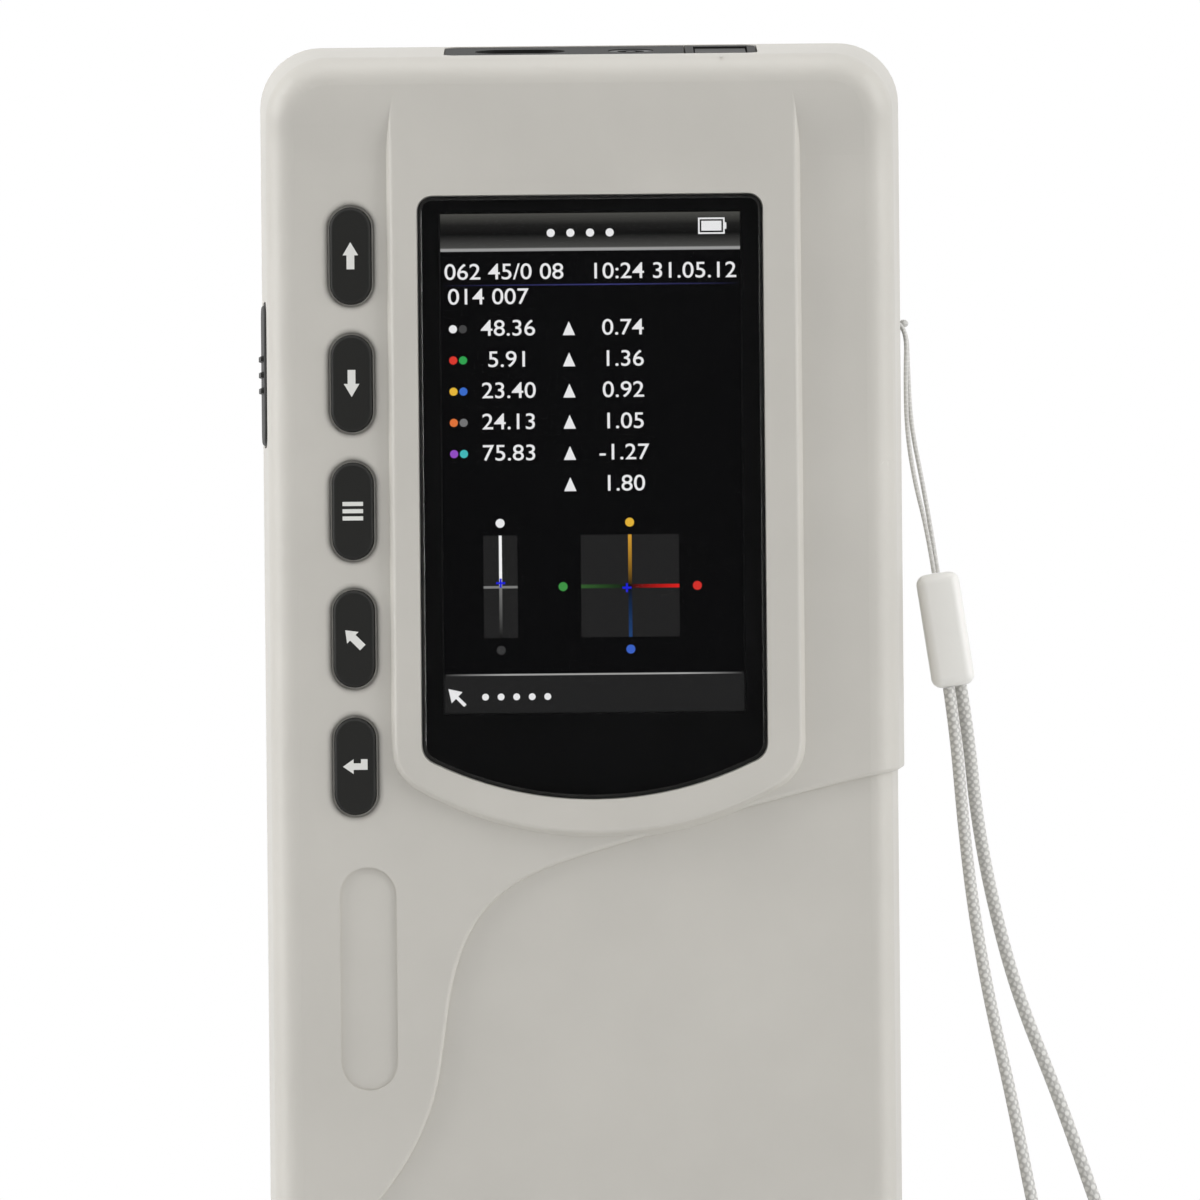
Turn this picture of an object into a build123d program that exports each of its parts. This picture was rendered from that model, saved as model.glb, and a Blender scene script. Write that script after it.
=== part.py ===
# Hand-held colour measuring instrument with its calibration cap and wrist strap.
# Millimetres. The front faces -Y, +X is the right side, +Z is up.
# The origin is the middle of the underside that the instrument stands on.

import os
from math import cos, pi, radians, sin, tan

from build123d import *

os.makedirs("parts", exist_ok=True)

# Overall size and housing outline
total_height = 205.0
base_width = 80.0
base_depth = 67.0
front_half_width = 38.0
parting_half_width = 39.4
front_y = -32.3
parting_y = -14.0
back_y = 17.0
flare_y = 32.0
body_bottom = 16.0
flare_top_z = 80.0
flare_bottom_z = 18.0
top_corner_radius = 7.5
front_edge_radius = 3.6
rear_edge_radius = 6.4
top_front_slope = 7.5
top_rear_slope = 3.0
rear_draft = 1.5
wall = 2.4
step_depth = 0.8
step_edge_radius = 0.5

# Lip that lines up the two shells along their sides
lip_depth = 1.5
lip_thickness = 1.0
lip_top_z = 186.0
lip_clearance = 0.1

# Screen pod and the channels beside it
pod_height = 1.2
pod_left_x = -23.0
pod_right_x = 26.3
pod_side_z = 115.8
pod_lowest_z = 108.2
pod_top_z = 199.0
pod_corner_radius = 5.5
pod_draft = 25.0
pod_edge_radius = 0.5
ramp_bottom_z = 190.4
ramp_top_z = 198.4

# Curved step from the right side, across the front, down to the left side
step_points = [
    (60.0, 116.2),
    (35.7, 114.9),
    (19.5, 111.0),
    (0.9, 105.8),
    (-12.1, 99.2),
    (-16.2, 90.8),
    (-18.6, 76.65),
    (-25.4, 63.9),
    (-38.5, 54.0),
    (-60.0, 50.0),
]

# Display window, the colour screen behind it and what carries them
window_x = 1.2
window_width = 42.0
window_top_z = 185.8
window_side_z = 117.6
window_lowest_z = 112.3
window_top_radius = 1.8
window_low_radius = 2.4
window_thickness = 1.6
window_proud = 0.1
window_clearance = 0.1
window_bevel = 0.5
screen_width = 36.6
screen_height = 60.95
screen_z = 153.3
screen_margin = 0.8
gasket_thickness = 1.0
gasket_rim = 1.8
lcd_width = 41.4
lcd_height = 70.5
lcd_z = 151.6
lcd_thickness = 2.5
bracket_sheet = 0.3
bracket_lip = 2.0

# Keys
key_x = -28.0
key_top_z = 178.7
key_pitch = 15.55
key_names = ["key_up", "key_down", "key_menu", "key_standard", "key_enter"]
key_width = 5.0
key_length = 11.75
key_clearance = 0.25
key_proud = 0.5
key_edge_radius = 0.4
key_hole_radius = 0.8
key_flange_rim = 1.1
key_flange_thickness = 1.0
key_travel = 0.6
seat_gap = 0.3
mat_thickness = 1.0
mat_width = 8.0
mat_margin = 2.6
dome_height = 0.6
dome_base_radius = 3.0
dome_top_radius = 2.2

# Shallow oval recess low on the front
oval_x = -26.6
oval_z = 90.6
oval_width = 6.9
oval_length = 27.2
oval_depth = 0.35

# Measuring trigger on the left side
trigger_z = 164.5
trigger_height = 17.3
trigger_width = 9.0
trigger_corner_radius = 2.0
trigger_clearance = 0.3
trigger_proud = 0.3
trigger_travel = 1.2
trigger_flange_rim = 1.2
trigger_flange_thickness = 1.0
trigger_post_radius = 2.0
trigger_rib_pitch = 1.95
trigger_rib_count = 3
trigger_rib_height = 0.35
trigger_rib_width = 0.9
trigger_rib_length = 6.4
trigger_rib_root = 0.2
trigger_rib_draft = 15.0
trigger_edge_radius = 0.4
switch_depth = 4.6
switch_length = 5.0
switch_height = 6.0
switch_plunger_radius = 1.2
switch_plunger_length = 1.1
switch_board_inset = 0.2

# Main board and what is on it
board_thickness = 1.6
board_left_x = -32.5
board_right_x = 31.5
board_bottom_z = 66.0
board_top_z = 192.6
board_corner_radius = 1.5
board_screw_places = [(-28.0, 72.0), (28.0, 72.0), (28.0, 186.0)]
board_boss_radius = 3.0
board_screw_radius = 1.2
board_screw_length = 4.2
chip_places = [
    (-8.0, 150.0, 14.0, 14.0, 1.4),
    (10.0, 146.0, 10.0, 12.0, 1.2),
    (-14.0, 128.0, 6.0, 5.0, 1.5),
    (2.0, 124.0, 8.0, 8.0, 1.0),
    (-20.0, 96.0, 7.0, 7.0, 3.0),
    (4.0, 100.0, 6.0, 10.0, 1.8),
    (22.0, 112.0, 5.0, 6.0, 1.5),
]
shield_width = 22.0
shield_height = 20.0
shield_depth = 3.0
shield_sheet = 0.3
shield_place = (8.0, 172.0)
coin_cell_radius = 6.25
coin_cell_thickness = 2.0
coin_cell_place = (20.0, 86.0)
buzzer_radius = 4.8
buzzer_thickness = 4.5
buzzer_place = (-18.0, 112.0)
plug_places = [(0.0, 69.5, 12.0), (-12.0, 84.0, 9.0), (14.0, 189.0, 14.0)]
plug_height = 5.0
plug_depth = 3.2
flex_plug_place = (1.2, 104.0)
flex_plug_width = 16.0
flex_plug_depth = 1.2
flex_thickness = 0.2
display_flex_width = 14.0
sensor_flex_width = 8.0

# Dark connector panel in the sloped top
panel_left_x = -16.4
panel_right_x = 12.9
panel_end_x = 21.8
panel_y = -21.4
panel_depth = 13.2
panel_thickness = 1.3
panel_recess = 0.1
panel_clearance = 0.1
panel_corner_radius = 1.5
panel_ledge = 2.0
usb_x = -7.2
usb_width = 7.7
usb_height = 3.9
usb_sheet = 0.4
usb_recess_length = 11.1
usb_recess_width = 6.0
jack_x = 6.4
jack_body = 8.6
jack_barrel_radius = 2.7
jack_bore_radius = 1.7
jack_pin_radius = 0.6
port_depth = 7.3
connector_board_thickness = 1.2
connector_board_depth = 11.0

# Power rocker and its frame, at the right end of the panel
rocker_x = 17.4
rocker_width = 6.2
rocker_half_length = 4.4
rocker_end_height = 0.8
rocker_middle_height = 0.2
rocker_pivot_depth = 2.0
rocker_floor_depth = 3.4
rocker_tilt = 9.0
rocker_side_gap = 0.2
rocker_end_gap = 0.7
rocker_pin_radius = 0.8
rocker_pin_clearance = 0.04
rocker_pin_reach = 0.45
frame_width = 8.6
frame_wall = 0.6
frame_floor_depth = 5.6

# Battery compartment in the back
door_width = 42.0
door_bottom_z = 88.0
door_top_z = 158.0
door_corner_radius = 3.0
door_gap = 0.3
door_grip_width = 16.0
door_grip_length = 5.0
door_grip_depth = 1.0
tab_x = 12.0
tab_width = 6.0
tab_thickness = 1.4
tab_reach = 1.8
tab_root = 2.4
tray_wall = 1.4
tray_margin_z = 2.3
tray_floor_y = -1.0
tray_flange = 2.6
tray_flange_thickness = 1.2
battery_width = 37.4
battery_height = 62.0
battery_thickness = 12.0
battery_z = 122.0
contact_count = 3
contact_pitch = 6.0
contact_width = 1.8
contact_sheet = 0.4

# Case screws, driven from the back
case_screw_places = [(-30.0, 196.2), (30.0, 196.2), (-32.0, 60.0), (32.0, 60.0)]
case_boss_radius = 4.2
case_bore_radius = 3.0
case_front_boss_radius = 3.2
case_boss_floor = 3.0
case_screw_radius = 1.45
case_screw_length = 11.0
case_head_radius = 2.7
case_head_height = 2.0
screw_clearance = 0.05
boss_root_y = -30.0
front_boss_end_y = -25.2

# Measuring base and its calibration cap
grip_thickness = 1.6
cap_floor_z = 4.0
cap_top_z = 9.3
cap_clearance = 0.2
base_corner_radius = 9.0
spigot_bottom_z = 6.6
spigot_inset = 2.4
flange_bottom_z = 9.6
foot_top_z = 15.2
foot_wall = 3.0
foot_edge_radius = 1.2
seal_inset = 0.4
seal_width = 1.6
notch_width = 2.0
aperture_radius = 4.0
aperture_cone_radius = 7.0
aperture_plate_radius = 17.0
aperture_plate_thickness = 1.2
aperture_plate_proud = 0.2
foot_hole_radius = 13.0
base_screw_places = [(-33.5, -21.0), (33.5, -21.0), (-33.3, 20.0), (33.3, 20.0)]
base_boss_radius = 3.2
base_boss_top_z = 30.0
base_screw_radius = 1.45
base_head_radius = 2.6
base_head_height = 1.8
base_screw_top_z = 26.0
tile_radius = 15.0
tile_thickness = 3.0
tile_gap = 0.3
tile_seat_thickness = 0.6
tile_ring_wall = 3.0
tile_ring_top_z = 5.6
tile_clearance = 0.2
grip_inset = 7.0
grip_corner_radius = 5.0
grip_groove_count = 5
grip_groove_pitch = 9.0
grip_groove_width = 2.0
grip_groove_depth = 0.6
cap_scallop_radius = 16.0
cap_scallop_depth = 1.2

# Optical head above the measuring hole
head_flange_radius = 27.0
head_flange_thickness = 2.6
chamber_radius = 22.4
chamber_top_z = 30.0
neck_bottom_z = 39.0
neck_radius = 13.0
neck_top_z = 56.0
head_wall = 1.6
neck_bore_radius = 8.0
lamp_board_z = 26.0
lamp_board_thickness = 1.2
lamp_board_radius = 20.4
lamp_board_bore = 6.0
lamp_ring_radius = 14.8
lamp_count = 8
lamp_radius = 1.5
lamp_length = 3.0
baffle_bore = 4.4
baffle_radius = 5.6
baffle_bottom_z = 13.0
baffle_flange_radius = 12.0
baffle_flange_thickness = 1.2
lens_radius = 6.0
lens_cup_wall = 1.2
lens_cup_top_z = 33.0
lens_edge = 1.2
lens_crown = 1.0
retainer_height = 1.4
retainer_bore = 4.8
fit_clearance = 0.1
sensor_board_radius = 12.5
sensor_board_thickness = 1.4
sensor_chip_size = 6.0
sensor_chip_thickness = 1.4
sensor_shield_radius = 8.5
sensor_shield_height = 4.5
sensor_shield_sheet = 0.5
head_screw_circle = 24.8
head_screw_count = 3
head_screw_radius = 1.2
head_screw_head = 1.9
head_screw_head_height = 1.4

# Strap eye, string, bead and braid
eye_y = -6.0
eye_z = 170.7
eye_width = 6.8
eye_height = 6.0
eye_depth = 3.8
eye_wall = 1.4
eye_corner_radius = 1.2
strap_bar_radius = 0.75
strap_bar_inset = 1.3
strap_bar_grip = 1.0
string_diameter = 0.8
bead_width = 5.4
bead_thickness = 5.4
bead_length = 14.3
bead_bevel = 0.9
bead_middle = (44.85, -7.0, 132.4)
bead_lean = 8.5
braid_diameter = 1.8

# Route of the string: from the bead up to the eye, round its bar, back to the bead
string_route = [
    (43.5, -7.7, 139.43),
    (42.7, -7.7, 144.8),
    (41.2, -7.9, 150.8),
    (40.3, -7.6, 157.0),
    (40.2, -7.3, 163.4),
    (40.45, -7.25, 170.7),
    (36.64, -7.25, 170.7),
    (36.64, -4.75, 170.7),
    (40.45, -4.75, 170.7),
    (40.6, -4.8, 164.0),
    (40.9, -5.2, 157.8),
    (42.1, -5.9, 151.4),
    (43.2, -6.3, 145.0),
    (44.0, -6.3, 139.5),
]

# Route of the braid: from the bead down to the ground, one turn there, back to the bead
braid_route = [
    (45.2, -7.8, 125.23),
    (46.0, -7.8, 119.4),
    (46.8, -8.1, 108.6),
    (47.9, -8.6, 98.0),
    (49.8, -9.2, 86.4),
    (52.4, -9.9, 74.5),
    (54.8, -10.6, 61.4),
    (57.6, -11.2, 48.0),
    (59.8, -11.6, 35.0),
    (61.6, -12.0, 22.0),
    (63.0, -13.0, 9.5),
    (64.0, -17.5, 1.0),
    (63.6, -26.0, 1.0),
    (63.8, -34.0, 1.0),
    (68.0, -38.4, 1.0),
    (74.0, -38.6, 1.0),
    (78.4, -34.4, 1.0),
    (78.6, -26.0, 1.0),
    (78.0, -17.0, 1.0),
    (76.5, -10.5, 8.0),
    (74.0, -8.3, 20.0),
    (71.2, -7.6, 33.0),
    (67.6, -7.0, 47.0),
    (62.9, -6.6, 61.0),
    (58.3, -6.3, 74.5),
    (53.5, -6.2, 86.6),
    (50.4, -6.1, 98.6),
    (48.5, -6.1, 109.4),
    (47.6, -6.2, 119.6),
    (46.7, -6.2, 125.45),
]

# Planes and heights worked out from the values above
channel_y = front_y + pod_height
inner_front_y = channel_y + wall
lcd_front_y = inner_front_y + gasket_thickness
board_front_y = lcd_front_y + lcd_thickness + bracket_sheet
board_back_y = board_front_y + board_thickness
window_pocket = window_thickness - window_proud
key_places = [key_top_z - key_pitch * n for n in range(len(key_names))]
key_flange_y = inner_front_y + seat_gap
inner_back_y = back_y - wall
door_z = (door_bottom_z + door_top_z) / 2
door_height = door_top_z - door_bottom_z
tab_y = inner_back_y - seat_gap - tab_thickness
side_lean = (parting_half_width - front_half_width) / (parting_y - front_y)


def front_plane(y):
    return Plane.XZ.offset(-y)


def half_width_at(y):
    if y <= parting_y:
        return parting_half_width - (parting_y - y) * side_lean
    return parting_half_width - (y - parting_y) * tan(radians(rear_draft))


def crown_at(y):
    if y <= parting_y:
        return total_height - (parting_y - y) * tan(radians(top_front_slope))
    return total_height - (y - parting_y) * tan(radians(top_rear_slope))


# Housing halves: lofted silhouettes, cut by the side profile and rounded


def silhouette_loft(first_y, last_y, inset):
    with BuildPart() as block:
        for y in (first_y, last_y):
            width = 2 * (half_width_at(y) - inset)
            height = crown_at(y) - inset - body_bottom
            with BuildSketch(front_plane(y)) as outline:
                with Locations((0, body_bottom + height / 2)):
                    Rectangle(width, height)
                top = outline.vertices().group_by(Axis.Y)[-1]
                fillet(top, top_corner_radius - inset)
        loft(ruled=True)
    return block.part


def cut_by_profile(block, inner_y, low_y, high_y, turn_low_z, turn_high_z):
    """Keep the part of the block behind a wall that shifts from low_y to high_y in two arcs."""
    middle = ((low_y + high_y) / 2, (turn_low_z + turn_high_z) / 2)
    over = total_height + 5
    with BuildPart() as cut:
        add(block)
        with BuildSketch(Plane.YZ):
            with BuildLine():
                Polyline((inner_y, body_bottom), (low_y, body_bottom), (low_y, turn_low_z))
                lower = TangentArc((low_y, turn_low_z), middle, tangent=(0, 1))
                TangentArc(middle, (high_y, turn_high_z), tangent=lower % 1)
                Polyline((high_y, turn_high_z), (high_y, over), (inner_y, over), (inner_y, body_bottom))
            make_face()
        extrude(amount=base_width, both=True, mode=Mode.INTERSECT)
    return cut.part


def rounded_rim(block, rim_edges, radius):
    with BuildPart() as rounded:
        add(block)
        fillet(rounded.edges().filter_by(rim_edges), radius)
    return rounded.part


def crosses_front(edge):
    box = edge.bounding_box()
    return box.size.Z < 0.01 and box.size.Y < 0.01 and box.size.X > base_width / 2


def front_half(inset):
    block = silhouette_loft(front_y, parting_y, inset)
    low_y = channel_y + inset
    shaped = cut_by_profile(block, parting_y, low_y, front_y + inset, ramp_bottom_z, ramp_top_z)

    def is_rim(edge):
        middle = edge.center()
        if middle.Y > low_y + 0.01 or middle.Z < body_bottom + 1:
            return False
        return not (crosses_front(edge) and middle.Z < ramp_top_z + 0.5)

    return rounded_rim(shaped, is_rim, front_edge_radius - inset)


def rear_half(inset, back_inset):
    block = silhouette_loft(parting_y, flare_y + 5, inset)
    high_y = back_y - back_inset
    shaped = cut_by_profile(block, parting_y, flare_y - back_inset, high_y, flare_bottom_z, flare_top_z)

    def is_rim(edge):
        middle = edge.center()
        if middle.Y < high_y - 0.01 or middle.Z < body_bottom + 0.5:
            return False
        return not (crosses_front(edge) and middle.Z < flare_top_z + 0.5)

    return rounded_rim(shaped, is_rim, rear_edge_radius - inset)


def region_above_step():
    with BuildPart() as region:
        with BuildSketch(front_plane(flare_y + 5)):
            with BuildLine():
                Spline(step_points)
                Polyline(
                    step_points[-1],
                    (step_points[-1][0], total_height + 10),
                    (step_points[0][0], total_height + 10),
                    step_points[0],
                )
            make_face()
        extrude(amount=flare_y - front_y + 10)
    return region.part


def raised_part(half):
    """The part of a housing half above the curved step, with its lower lip rounded."""
    region = region_above_step()
    step_wall = region.faces().sort_by(Axis.Z)[0]

    def is_lip(edge):
        if abs(edge.center().Y - parting_y) < 0.01:
            return False
        return all(step_wall.distance_to(edge @ share) < 0.001 for share in (0.1, 0.5, 0.9))

    with BuildPart() as raised:
        add(half)
        add(region, mode=Mode.INTERSECT)
        fillet(raised.edges().filter_by(is_lip), step_edge_radius)
    return raised.part


def lip_ring(outer_inset, depth):
    with BuildPart() as ring:
        add(silhouette_loft(parting_y - depth, parting_y, outer_inset))
        add(silhouette_loft(parting_y - depth, parting_y, wall), mode=Mode.SUBTRACT)
        with Locations((0, parting_y, (body_bottom + lip_top_z) / 2)):
            Box(base_width, 10 * depth, lip_top_z - body_bottom, mode=Mode.INTERSECT)
    return ring.part


# Plane of the sloped top, at the middle of the connector panel

slope = radians(top_front_slope)
top_plane = Plane(
    origin=(0, panel_y, crown_at(panel_y)),
    x_dir=(1, 0, 0),
    z_dir=(0, -sin(slope), cos(slope)),
)

# Plane of the left side at the trigger

trigger_y = board_back_y + switch_depth / 2
trigger_plane = Plane(
    origin=(-half_width_at(trigger_y), trigger_y, trigger_z),
    x_dir=(side_lean, -1, 0),
    z_dir=(-1, -side_lean, 0),
)


def window_outline(grow):
    half = window_width / 2 + grow
    left = window_x - half
    right = window_x + half
    with BuildSketch() as outline:
        with BuildLine():
            Line((left, window_top_z + grow), (left, window_side_z - grow))
            ThreePointArc(
                (left, window_side_z - grow),
                (window_x, window_lowest_z - grow),
                (right, window_side_z - grow),
            )
            Polyline(
                (right, window_side_z - grow),
                (right, window_top_z + grow),
                (left, window_top_z + grow),
            )
        make_face()
        fillet(outline.vertices().group_by(Axis.Y)[-1], window_top_radius + grow)
        fillet(outline.vertices().group_by(Axis.Y)[0], window_low_radius + grow)
    return outline.sketch


# Front shell

with BuildPart() as pod:
    with BuildSketch(front_plane(front_y)) as pod_outline:
        with BuildLine():
            Line((pod_left_x, pod_top_z), (pod_left_x, pod_side_z))
            ThreePointArc(
                (pod_left_x, pod_side_z),
                ((pod_left_x + pod_right_x) / 2, pod_lowest_z),
                (pod_right_x, pod_side_z),
            )
            Polyline((pod_right_x, pod_side_z), (pod_right_x, pod_top_z), (pod_left_x, pod_top_z))
        make_face()
        fillet(pod_outline.vertices().group_by(Axis.Y)[0], pod_corner_radius)
    extrude(amount=pod_height + wall / 2, dir=(0, 1, 0), taper=-pod_draft)
    pod_face = pod.faces().sort_by(Axis.Y)[0]
    fillet(pod_face.edges().filter_by(lambda edge: edge.center().Z < pod_top_z - 1), pod_edge_radius)

with BuildPart() as front_shell:
    add(raised_part(front_half(0)))
    add(front_half(step_depth))
    add(pod.part)
    add(front_half(wall), mode=Mode.SUBTRACT)
    add(lip_ring(wall - lip_thickness - lip_clearance, lip_depth + lip_clearance), mode=Mode.SUBTRACT)

    # Bosses for the main board, the rear shell and the measuring base
    with BuildSketch(front_plane(boss_root_y)):
        with Locations(board_screw_places):
            Circle(board_boss_radius)
    extrude(amount=board_front_y - boss_root_y, dir=(0, 1, 0))
    with BuildSketch(front_plane(boss_root_y)):
        with Locations(case_screw_places):
            Circle(case_front_boss_radius)
    extrude(amount=parting_y - boss_root_y, dir=(0, 1, 0))
    with BuildSketch(front_plane(parting_y)):
        with Locations(case_screw_places):
            Circle(case_screw_radius + screw_clearance)
    extrude(amount=parting_y - front_boss_end_y, mode=Mode.SUBTRACT)
    with BuildSketch(front_plane(board_front_y)):
        with Locations(board_screw_places):
            Circle(board_screw_radius + screw_clearance)
    extrude(amount=board_screw_length - board_thickness, mode=Mode.SUBTRACT)
    with BuildSketch(Plane.XY.offset(body_bottom)):
        with Locations(base_screw_places[:2]):
            Circle(base_boss_radius)
    extrude(amount=base_boss_top_z - body_bottom)
    with BuildSketch(Plane.XY.offset(body_bottom)):
        with Locations(base_screw_places[:2]):
            Circle(base_screw_radius + screw_clearance)
    extrude(amount=base_screw_top_z + 1 - body_bottom, mode=Mode.SUBTRACT)

    # Pocket for the window and the opening for the screen
    with BuildSketch(front_plane(front_y)):
        add(window_outline(window_clearance))
    extrude(amount=-window_pocket, mode=Mode.SUBTRACT)
    with BuildSketch(front_plane(front_y)):
        with Locations((window_x, screen_z)):
            Rectangle(screen_width + 2 * screen_margin, screen_height + 2 * screen_margin)
    extrude(amount=-(pod_height + wall + 1), mode=Mode.SUBTRACT)

    # Key holes with rounded rims
    with BuildSketch(front_plane(channel_y)):
        with Locations([(key_x, z) for z in key_places]):
            SlotOverall(key_length + 2 * key_clearance, key_width + 2 * key_clearance, rotation=90)
    extrude(amount=-(wall + 1), mode=Mode.SUBTRACT)
    rims = front_shell.edges().filter_by(
        lambda edge: abs(edge.center().Y - channel_y) < 0.001
        and abs(edge.center().X - key_x) < key_width
        and edge.bounding_box().size.X < key_width + 1
        and edge.center().Z > key_places[-1] - key_length
        and edge.length < key_length
    )
    fillet(rims, key_hole_radius)

    # Oval recess
    with BuildSketch(front_plane(channel_y)):
        with Locations((oval_x, oval_z)):
            SlotOverall(oval_length, oval_width, rotation=90)
    extrude(amount=-oval_depth, mode=Mode.SUBTRACT)

    # Trigger opening in the left wall
    with BuildSketch(trigger_plane):
        RectangleRounded(
            trigger_width + 2 * trigger_clearance,
            trigger_height + 2 * trigger_clearance,
            trigger_corner_radius + trigger_clearance,
        )
    extrude(amount=wall + 1, both=True, mode=Mode.SUBTRACT)

    # Pocket and openings for the connector panel
    panel_middle_x = (panel_left_x + panel_end_x) / 2
    with BuildSketch(top_plane):
        with Locations((panel_middle_x, 0)):
            RectangleRounded(
                panel_end_x - panel_left_x + 2 * panel_clearance,
                panel_depth + 2 * panel_clearance,
                panel_corner_radius,
            )
    extrude(amount=-(panel_thickness + panel_recess), mode=Mode.SUBTRACT)
    port_left_x = panel_left_x + panel_ledge
    port_right_x = panel_right_x - panel_ledge
    with BuildSketch(top_plane):
        with Locations(((port_left_x + port_right_x) / 2, 0)):
            Rectangle(port_right_x - port_left_x, panel_depth - 2 * panel_ledge)
        with Locations((rocker_x, 0)):
            Rectangle(
                rocker_width + 2 * (rocker_side_gap + frame_wall + panel_clearance),
                2 * (rocker_half_length + rocker_end_gap + frame_wall + panel_clearance),
            )
    extrude(amount=-(wall + 2), mode=Mode.SUBTRACT)
front_shell.part.label = "front_shell"
export_step(front_shell.part, "parts/front_shell.step")
print("front shell", front_shell.part.is_valid, len(front_shell.part.solids()))

# Rear shell

with BuildPart() as rear_shell:
    add(raised_part(rear_half(0, 0)))
    add(rear_half(step_depth, 0))
    add(rear_half(wall, wall), mode=Mode.SUBTRACT)
    add(lip_ring(wall - lip_thickness, lip_depth))

    # Deep bosses that the case screws sink into
    for x, z in case_screw_places:
        with BuildSketch(front_plane(parting_y)):
            with Locations((x, z)):
                Circle(case_boss_radius)
        extrude(amount=back_y - wall / 2 - parting_y, dir=(0, 1, 0))
    with BuildSketch(front_plane(parting_y + case_boss_floor)):
        with Locations(case_screw_places):
            Circle(case_bore_radius)
    extrude(amount=flare_y, dir=(0, 1, 0), mode=Mode.SUBTRACT)
    with BuildSketch(front_plane(parting_y)):
        with Locations(case_screw_places):
            Circle(case_screw_radius + screw_clearance)
    extrude(amount=case_boss_floor, dir=(0, 1, 0), mode=Mode.SUBTRACT)
    with BuildSketch(Plane.XY.offset(body_bottom)):
        with Locations(base_screw_places[2:]):
            Circle(base_boss_radius)
    extrude(amount=base_boss_top_z - body_bottom)
    with BuildSketch(Plane.XY.offset(body_bottom)):
        with Locations(base_screw_places[2:]):
            Circle(base_screw_radius + screw_clearance)
    extrude(amount=base_screw_top_z + 1 - body_bottom, mode=Mode.SUBTRACT)

    # Opening for the battery door
    with BuildSketch(front_plane(back_y)):
        with Locations((0, door_z)):
            RectangleRounded(door_width, door_height, door_corner_radius)
    extrude(amount=wall + 1, mode=Mode.SUBTRACT)

    # Strap eye: a lined recess in the right side, with holes for its bar
    eye_x = half_width_at(eye_y)
    eye_floor_x = eye_x - eye_depth
    with Locations((eye_x - wall / 2, eye_y, eye_z)):
        Box(
            eye_depth + eye_wall - wall / 2,
            eye_width + 2 * eye_wall,
            eye_height + 2 * eye_wall,
            align=(Align.MAX, Align.CENTER, Align.CENTER),
        )
    with BuildSketch(Plane.YZ.offset(eye_floor_x)):
        with Locations((eye_y, eye_z)):
            RectangleRounded(eye_width, eye_height, eye_corner_radius)
    extrude(amount=eye_depth + 2, mode=Mode.SUBTRACT)
    strap_bar_x = eye_x - strap_bar_inset
    with Locations((strap_bar_x, eye_y, eye_z)):
        Cylinder(strap_bar_radius, eye_height + 2 * strap_bar_grip, mode=Mode.SUBTRACT)
rear_shell.part.label = "rear_shell"
export_step(rear_shell.part, "parts/rear_shell.step")
print("rear shell", rear_shell.part.is_valid, len(rear_shell.part.solids()))

# Window, screen and their carriers

with BuildPart() as display_window:
    with BuildSketch(front_plane(front_y + window_pocket)):
        add(window_outline(0))
    extrude(amount=window_thickness)
    chamfer(display_window.faces().sort_by(Axis.Y)[0].edges(), window_bevel)
display_window.part.label = "display_window"
export_step(display_window.part, "parts/display_window.step")

with BuildPart() as window_gasket:
    with BuildSketch(front_plane(lcd_front_y)):
        with Locations((window_x, screen_z)):
            Rectangle(screen_width + 2 * gasket_rim, screen_height + 2 * gasket_rim)
            Rectangle(screen_width + 1, screen_height + 1, mode=Mode.SUBTRACT)
    extrude(amount=gasket_thickness)
window_gasket.part.label = "window_gasket"
export_step(window_gasket.part, "parts/window_gasket.step")

with BuildPart() as lcd_module:
    with BuildSketch(front_plane(lcd_front_y)):
        with Locations((window_x, lcd_z)):
            RectangleRounded(lcd_width, lcd_height, 0.8)
    extrude(amount=-lcd_thickness)
    with BuildSketch(front_plane(lcd_front_y)):
        with Locations((window_x, screen_z)):
            Rectangle(screen_width, screen_height)
    extrude(amount=-0.2, mode=Mode.SUBTRACT)
lcd_module.part.label = "lcd_module"
export_step(lcd_module.part, "parts/lcd_module.step")

with BuildPart() as lcd_bracket:
    with BuildSketch(front_plane(board_front_y)):
        with Locations((window_x, lcd_z)):
            Rectangle(lcd_width + 2 * bracket_sheet + 0.2, lcd_height)
            Rectangle(lcd_width - 8, lcd_height - 8, mode=Mode.SUBTRACT)
    extrude(amount=bracket_sheet)
    with BuildSketch(front_plane(board_front_y)):
        with Locations((window_x, lcd_z)):
            Rectangle(lcd_width + 2 * bracket_sheet + 0.2, lcd_height)
            Rectangle(lcd_width + 0.2, lcd_height, mode=Mode.SUBTRACT)
    extrude(amount=bracket_lip)
lcd_bracket.part.label = "lcd_bracket"
export_step(lcd_bracket.part, "parts/lcd_bracket.step")

# Keys and the silicone mat behind them

for key_name, key_z in zip(key_names, key_places):
    with BuildPart() as key:
        with BuildSketch(front_plane(key_flange_y)):
            with Locations((key_x, key_z)):
                SlotOverall(key_length + 2 * key_flange_rim, key_width + 2 * key_flange_rim, rotation=90)
        extrude(amount=-key_flange_thickness)
        with BuildSketch(front_plane(key_flange_y)):
            with Locations((key_x, key_z)):
                SlotOverall(key_length, key_width, rotation=90)
        extrude(amount=key_flange_y - channel_y + key_proud)
        fillet(key.faces().sort_by(Axis.Y)[0].edges(), key_edge_radius)
    key.part.label = key_name
    export_step(key.part, "parts/" + key_name + ".step")

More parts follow.
